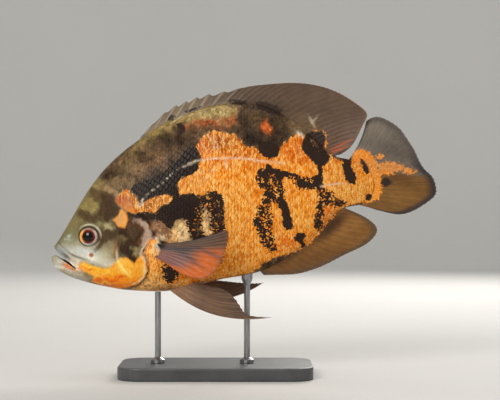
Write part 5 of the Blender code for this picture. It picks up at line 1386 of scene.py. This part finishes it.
def girth(n_t=260, n_f=241):
    """Angle on the body at equal shares of the way from back to belly."""
    t = np.linspace(KNOTS[6], KNOTS[-1], n_t)
    a = np.linspace(0, math.pi, 721)
    T, A = np.meshgrid(t, a, indexing="ij")
    u, v, w = body_surface(T, A)
    seg = np.sqrt(np.diff(u, axis=1) ** 2 + np.diff(v, axis=1) ** 2 + np.diff(w, axis=1) ** 2)
    run = np.concatenate([np.zeros((n_t, 1)), np.cumsum(seg, axis=1)], axis=1)
    f = np.linspace(0, 1, n_f)
    table = np.stack([np.interp(f * run[i, -1], run[i], a) for i in range(n_t)])
    return t, f, table, run[:, -1]


G_T, G_F, G_A, G_S = girth()


def angle_of(t, f):
    x = np.clip((t - G_T[0]) / (G_T[-1] - G_T[0]) * (len(G_T) - 1), 0, len(G_T) - 1.001)
    y = np.clip(f * (len(G_F) - 1), 0, len(G_F) - 1.001)
    i, j = x.astype(int), y.astype(int)
    p, q = x - i, y - j
    return ((G_A[i, j] * (1 - p) + G_A[i + 1, j] * p) * (1 - q)
            + (G_A[i, j + 1] * (1 - p) + G_A[i + 1, j + 1] * p) * q)


def scales(side, seed):
    """Overlapping closed scales on one flank, root sunk, hind rim raised."""
    rng = np.random.RandomState(seed)
    s_max = G_S.max()
    size = lambda t: (np.interp(t, G_T, G_S) / s_max) ** 0.50
    cols, t = [], KNOTS[8]
    while t < KNOTS[-1] - 5.0:
        cols.append(t)
        t += 3.25 * size(t)
    roots_t, roots_f, cell = [], [], []
    for i, t in enumerate(cols):
        s = float(np.interp(t, G_T, G_S))
        q = 6.5 * float(size(t))
        j = np.arange(-60, 60) + 0.5 * (i % 2)
        f = F_REF + j * q / s
        keep = (f > 0.62 * q / s) & (f < 1 - 0.30 * q / s)
        roots_t += [t] * int(keep.sum())
        roots_f += list(f[keep])
        cell += [q] * int(keep.sum())
    t0, f0, q0 = np.array(roots_t), np.array(roots_f), np.array(cell)
    a0 = angle_of(t0, f0)
    u, v, w = body_surface(t0, a0)
    d = near_line(*seen(u, v, w), smooth_line(NAPE, 90))[0]
    keep = (d > 2.6) & (np.hypot((u - 152) / 5.4, (v - 246) / 8.4) > 1.0)
    t0, f0, q0, u0, v0 = t0[keep], f0[keep], q0[keep], u[keep], v[keep]
    n = len(t0)
    nr, ns = 6, 7
    r, s = np.linspace(0, 1, nr) ** 0.80, np.sin(0.5 * math.pi * np.linspace(-1, 1, ns))
    R, S = np.meshgrid(r, s, indexing="ij")
    wob = rng.uniform(-1, 1, (n, 1, 1))
    rim_x = 0.16 + 1.10 * np.sqrt(np.clip(1 - S ** 2, 0, 1))
    root_x = -0.95 * (1 - 0.20 * S ** 2)
    x = root_x + (rim_x - root_x) * R
    y = S * (0.50 + 0.05 * np.sin(math.pi * R))
    q, c = q0[:, None, None], (q0 * 0.5)[:, None, None]
    tt = t0[:, None, None] + x * c * (1 + 0.05 * wob)
    sg = np.interp(tt, G_T, G_S)
    ff = f0[:, None, None] + (y + 0.05 * rng.uniform(-1, 1, (n, 1, 1))) * q * 1.06 / sg
    aa = angle_of(tt, np.clip(ff, 0.004, 0.998))
    g = (q0 / 6.5)[:, None, None]
    near = ramp(near_line(u0, v0, smooth_line(NAPE, 90))[0], 1, 22)[:, None, None]
    soft = (0.45 + 0.55 * near) * (0.9 + 0.2 * rng.uniform(0, 1, (n, 1, 1)))
    h = (-0.12 + 0.27 * R ** 0.8 * soft) * g ** 0.5
    h = h - 0.03 * R * (S ** 4) * g ** 0.5
    hem = np.zeros_like(R)
    hem[0], hem[-1], hem[:, 0], hem[:, -1] = 1, 1, 1, 1
    rear = np.zeros_like(R)
    rear[-1] = 1
    h = np.where(hem > 0, np.where(rear > 0, 0.0, -0.15), h)
    h = np.where((rear > 0) & (np.abs(S) < 0.99), 0.0, h)
    uu, vv, ww, P, _ = skin_at(tt, side * -1 * aa, h * MM)
    bu, bv, bw, B, _ = skin_at(t0 + 0.12 * q0, side * -1 * angle_of(t0, f0), np.full(n, -0.25 * MM))
    grid = P.reshape(n, -1, 3)
    verts = np.concatenate([grid, B[:, None, :]], axis=1)
    k = nr * ns + 1
    ids = np.arange(nr * ns).reshape(nr, ns)
    top = np.stack([ids[:-1, :-1], ids[1:, :-1], ids[1:, 1:], ids[:-1, 1:]], -1).reshape(-1, 4)
    ring = np.concatenate([ids[0, :], ids[1:, -1], ids[-1, -2::-1], ids[-2:0:-1, 0]])
    nxt_r = np.roll(ring, -1)
    hub = np.full(len(ring), nr * ns)
    bottom = np.stack([ring, nxt_r, hub, hub], -1)
    one = np.vstack([top, bottom])
    off = (np.arange(n) * k)[:, None, None]
    quads_ = (one[None] + off).reshape(-1, 4)
    if side > 0:
        quads_ = np.where((quads_[:, 2] == quads_[:, 3])[:, None], quads_[:, [1, 0, 2, 2]], quads_[:, ::-1])
    name = "scales_left" if side < 0 else "scales_right"
    me = new_mesh(name, verts.reshape(-1, 3), quads_)
    full = lambda z, b: np.concatenate([z.reshape(n, -1), np.asarray(b)[:, None]], axis=1).ravel()
    U, V, W = full(uu, bu), full(vv, bv), full(ww, bw)
    rnd = np.repeat(rng.uniform(-1, 1, n), k)
    rim = full(np.broadcast_to(R, (n, nr, ns)), np.zeros(n))
    m = markings(U, V, W)
    set_marks(me, m, rim, rnd)
    root = unwrap(t0, np.mod(side * -1 * a0[keep], 2 * math.pi))
    lx = full(np.broadcast_to(x / 2.3, (n, nr, ns)), np.zeros(n))
    ly = full(np.broadcast_to(y / 1.25, (n, nr, ns)), np.zeros(n))
    uv = np.repeat(root, k, axis=0) + 0.003 * np.stack([lx, ly], -1)
    set_uv(me, uv[loop_verts(me)])
    ob = piece(name, me, scale_mat)
    tot = np.empty(len(me.polygons), np.int32)
    me.polygons.foreach_get("loop_total", tot)
    print(name, n, "scales", int((tot - 2).sum()), "triangles")


scales(-1, 11)
scales(1, 12)


# -------------------------------------------------------------------- stand
_paint, _steel = paint_material(), steel_material()
for _n, _mat in (("stand_base", _paint), ("stand_rod_front", _steel), ("stand_rod_rear", _steel)):
    for _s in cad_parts[_n].material_slots:
        _s.link = "OBJECT"
        _s.material = _mat


# ---------------------------------------------------- floor, light, camera
CAM_X, CAM_Z, CAM_D = (250 - U_MID) * UNIT, (V_FLOOR - 200) * UNIT, 1.2


def backdrop():
    """A wide round floor that curves up into a plain wall on every side."""
    pts = [(0.0, 0.0), (0.6, 0.0), (1.4, 0.0), (1.8, 0.0)]
    for k in range(1, 25):
        q = math.pi / 2 * k / 24
        pts.append((1.8 + 0.8 * math.sin(q), 0.8 * (1 - math.cos(q))))
    pts.append((2.6, 1.9))
    seg = 96
    verts = [(0.0, 0.0, 0.0)]
    for r, z in pts[1:]:
        verts += [(r * math.cos(2 * math.pi * i / seg), r * math.sin(2 * math.pi * i / seg), z) for i in range(seg)]
    faces = [(0, 1 + i, 1 + (i + 1) % seg) for i in range(seg)]
    for j in range(len(pts) - 2):
        for i in range(seg):
            a0, a1 = 1 + j * seg + i, 1 + j * seg + (i + 1) % seg
            faces.append((a0, a0 + seg, a1 + seg, a1))
    me = bpy.data.meshes.new("backdrop")
    me.from_pydata(verts, [], faces)
    me.shade_smooth()
    ob = bpy.data.objects.new("backdrop", me)
    bpy.context.scene.collection.objects.link(ob)
    me.materials.append(paper_material())


backdrop()


def area(name, at, to, size, power, color=(1, 1, 1)):
    li = bpy.data.lights.new(name, "AREA")
    li.shape = "RECTANGLE"
    li.size, li.size_y = size
    li.energy = power
    li.color = color
    ob = bpy.data.objects.new(name, li)
    bpy.context.scene.collection.objects.link(ob)
    ob.location = at
    d = np.array(to) - np.array(at)
    from mathutils import Vector
    ob.rotation_euler = Vector(d).to_track_quat("-Z", "Y").to_euler()
    return ob


area("key", (-0.60, -1.25, 0.80), (0, 0, 0.13), (0.6, 0.6), 15.5, (1.0, 0.955, 0.89))
area("fill", (1.1, -0.9, 0.55), (0, 0, 0.13), (0.9, 0.7), 2.0, (0.98, 0.98, 1.0))
area("top", (0.1, 0.1, 1.25), (0, 0, 0.12), (1.0, 0.8), 2.5)
area("back", (0.45, 1.3, 0.85), (0, 0, 0.13), (0.8, 0.7), 13.0, (1.0, 0.97, 0.93))
area("wall", (0.0, 0.9, 1.75), (0.0, 2.5, 0.75), (2.4, 0.4), 9.0)
world = bpy.data.worlds.new("studio")
bpy.context.scene.world = world
world.use_nodes = True
bg = world.node_tree.nodes["Background"]
bg.inputs[0].default_value = (1.0, 0.98, 0.95, 1)
bg.inputs[1].default_value = 0.38

cam_data = bpy.data.cameras.new("camera")
cam_data.sensor_width = 36.0
cam_data.lens = 36.0 * CAM_D / (500 * UNIT)
cam_data.clip_start, cam_data.clip_end = 0.05, 20
cam = bpy.data.objects.new("camera", cam_data)
bpy.context.scene.collection.objects.link(cam)
cam.location = (CAM_X, -CAM_D, CAM_Z)
cam.rotation_euler = (math.pi / 2, 0, 0)
bpy.context.scene.camera = cam
bpy.context.scene.view_settings.view_transform = "Standard"
bpy.context.scene.view_settings.look = "None"
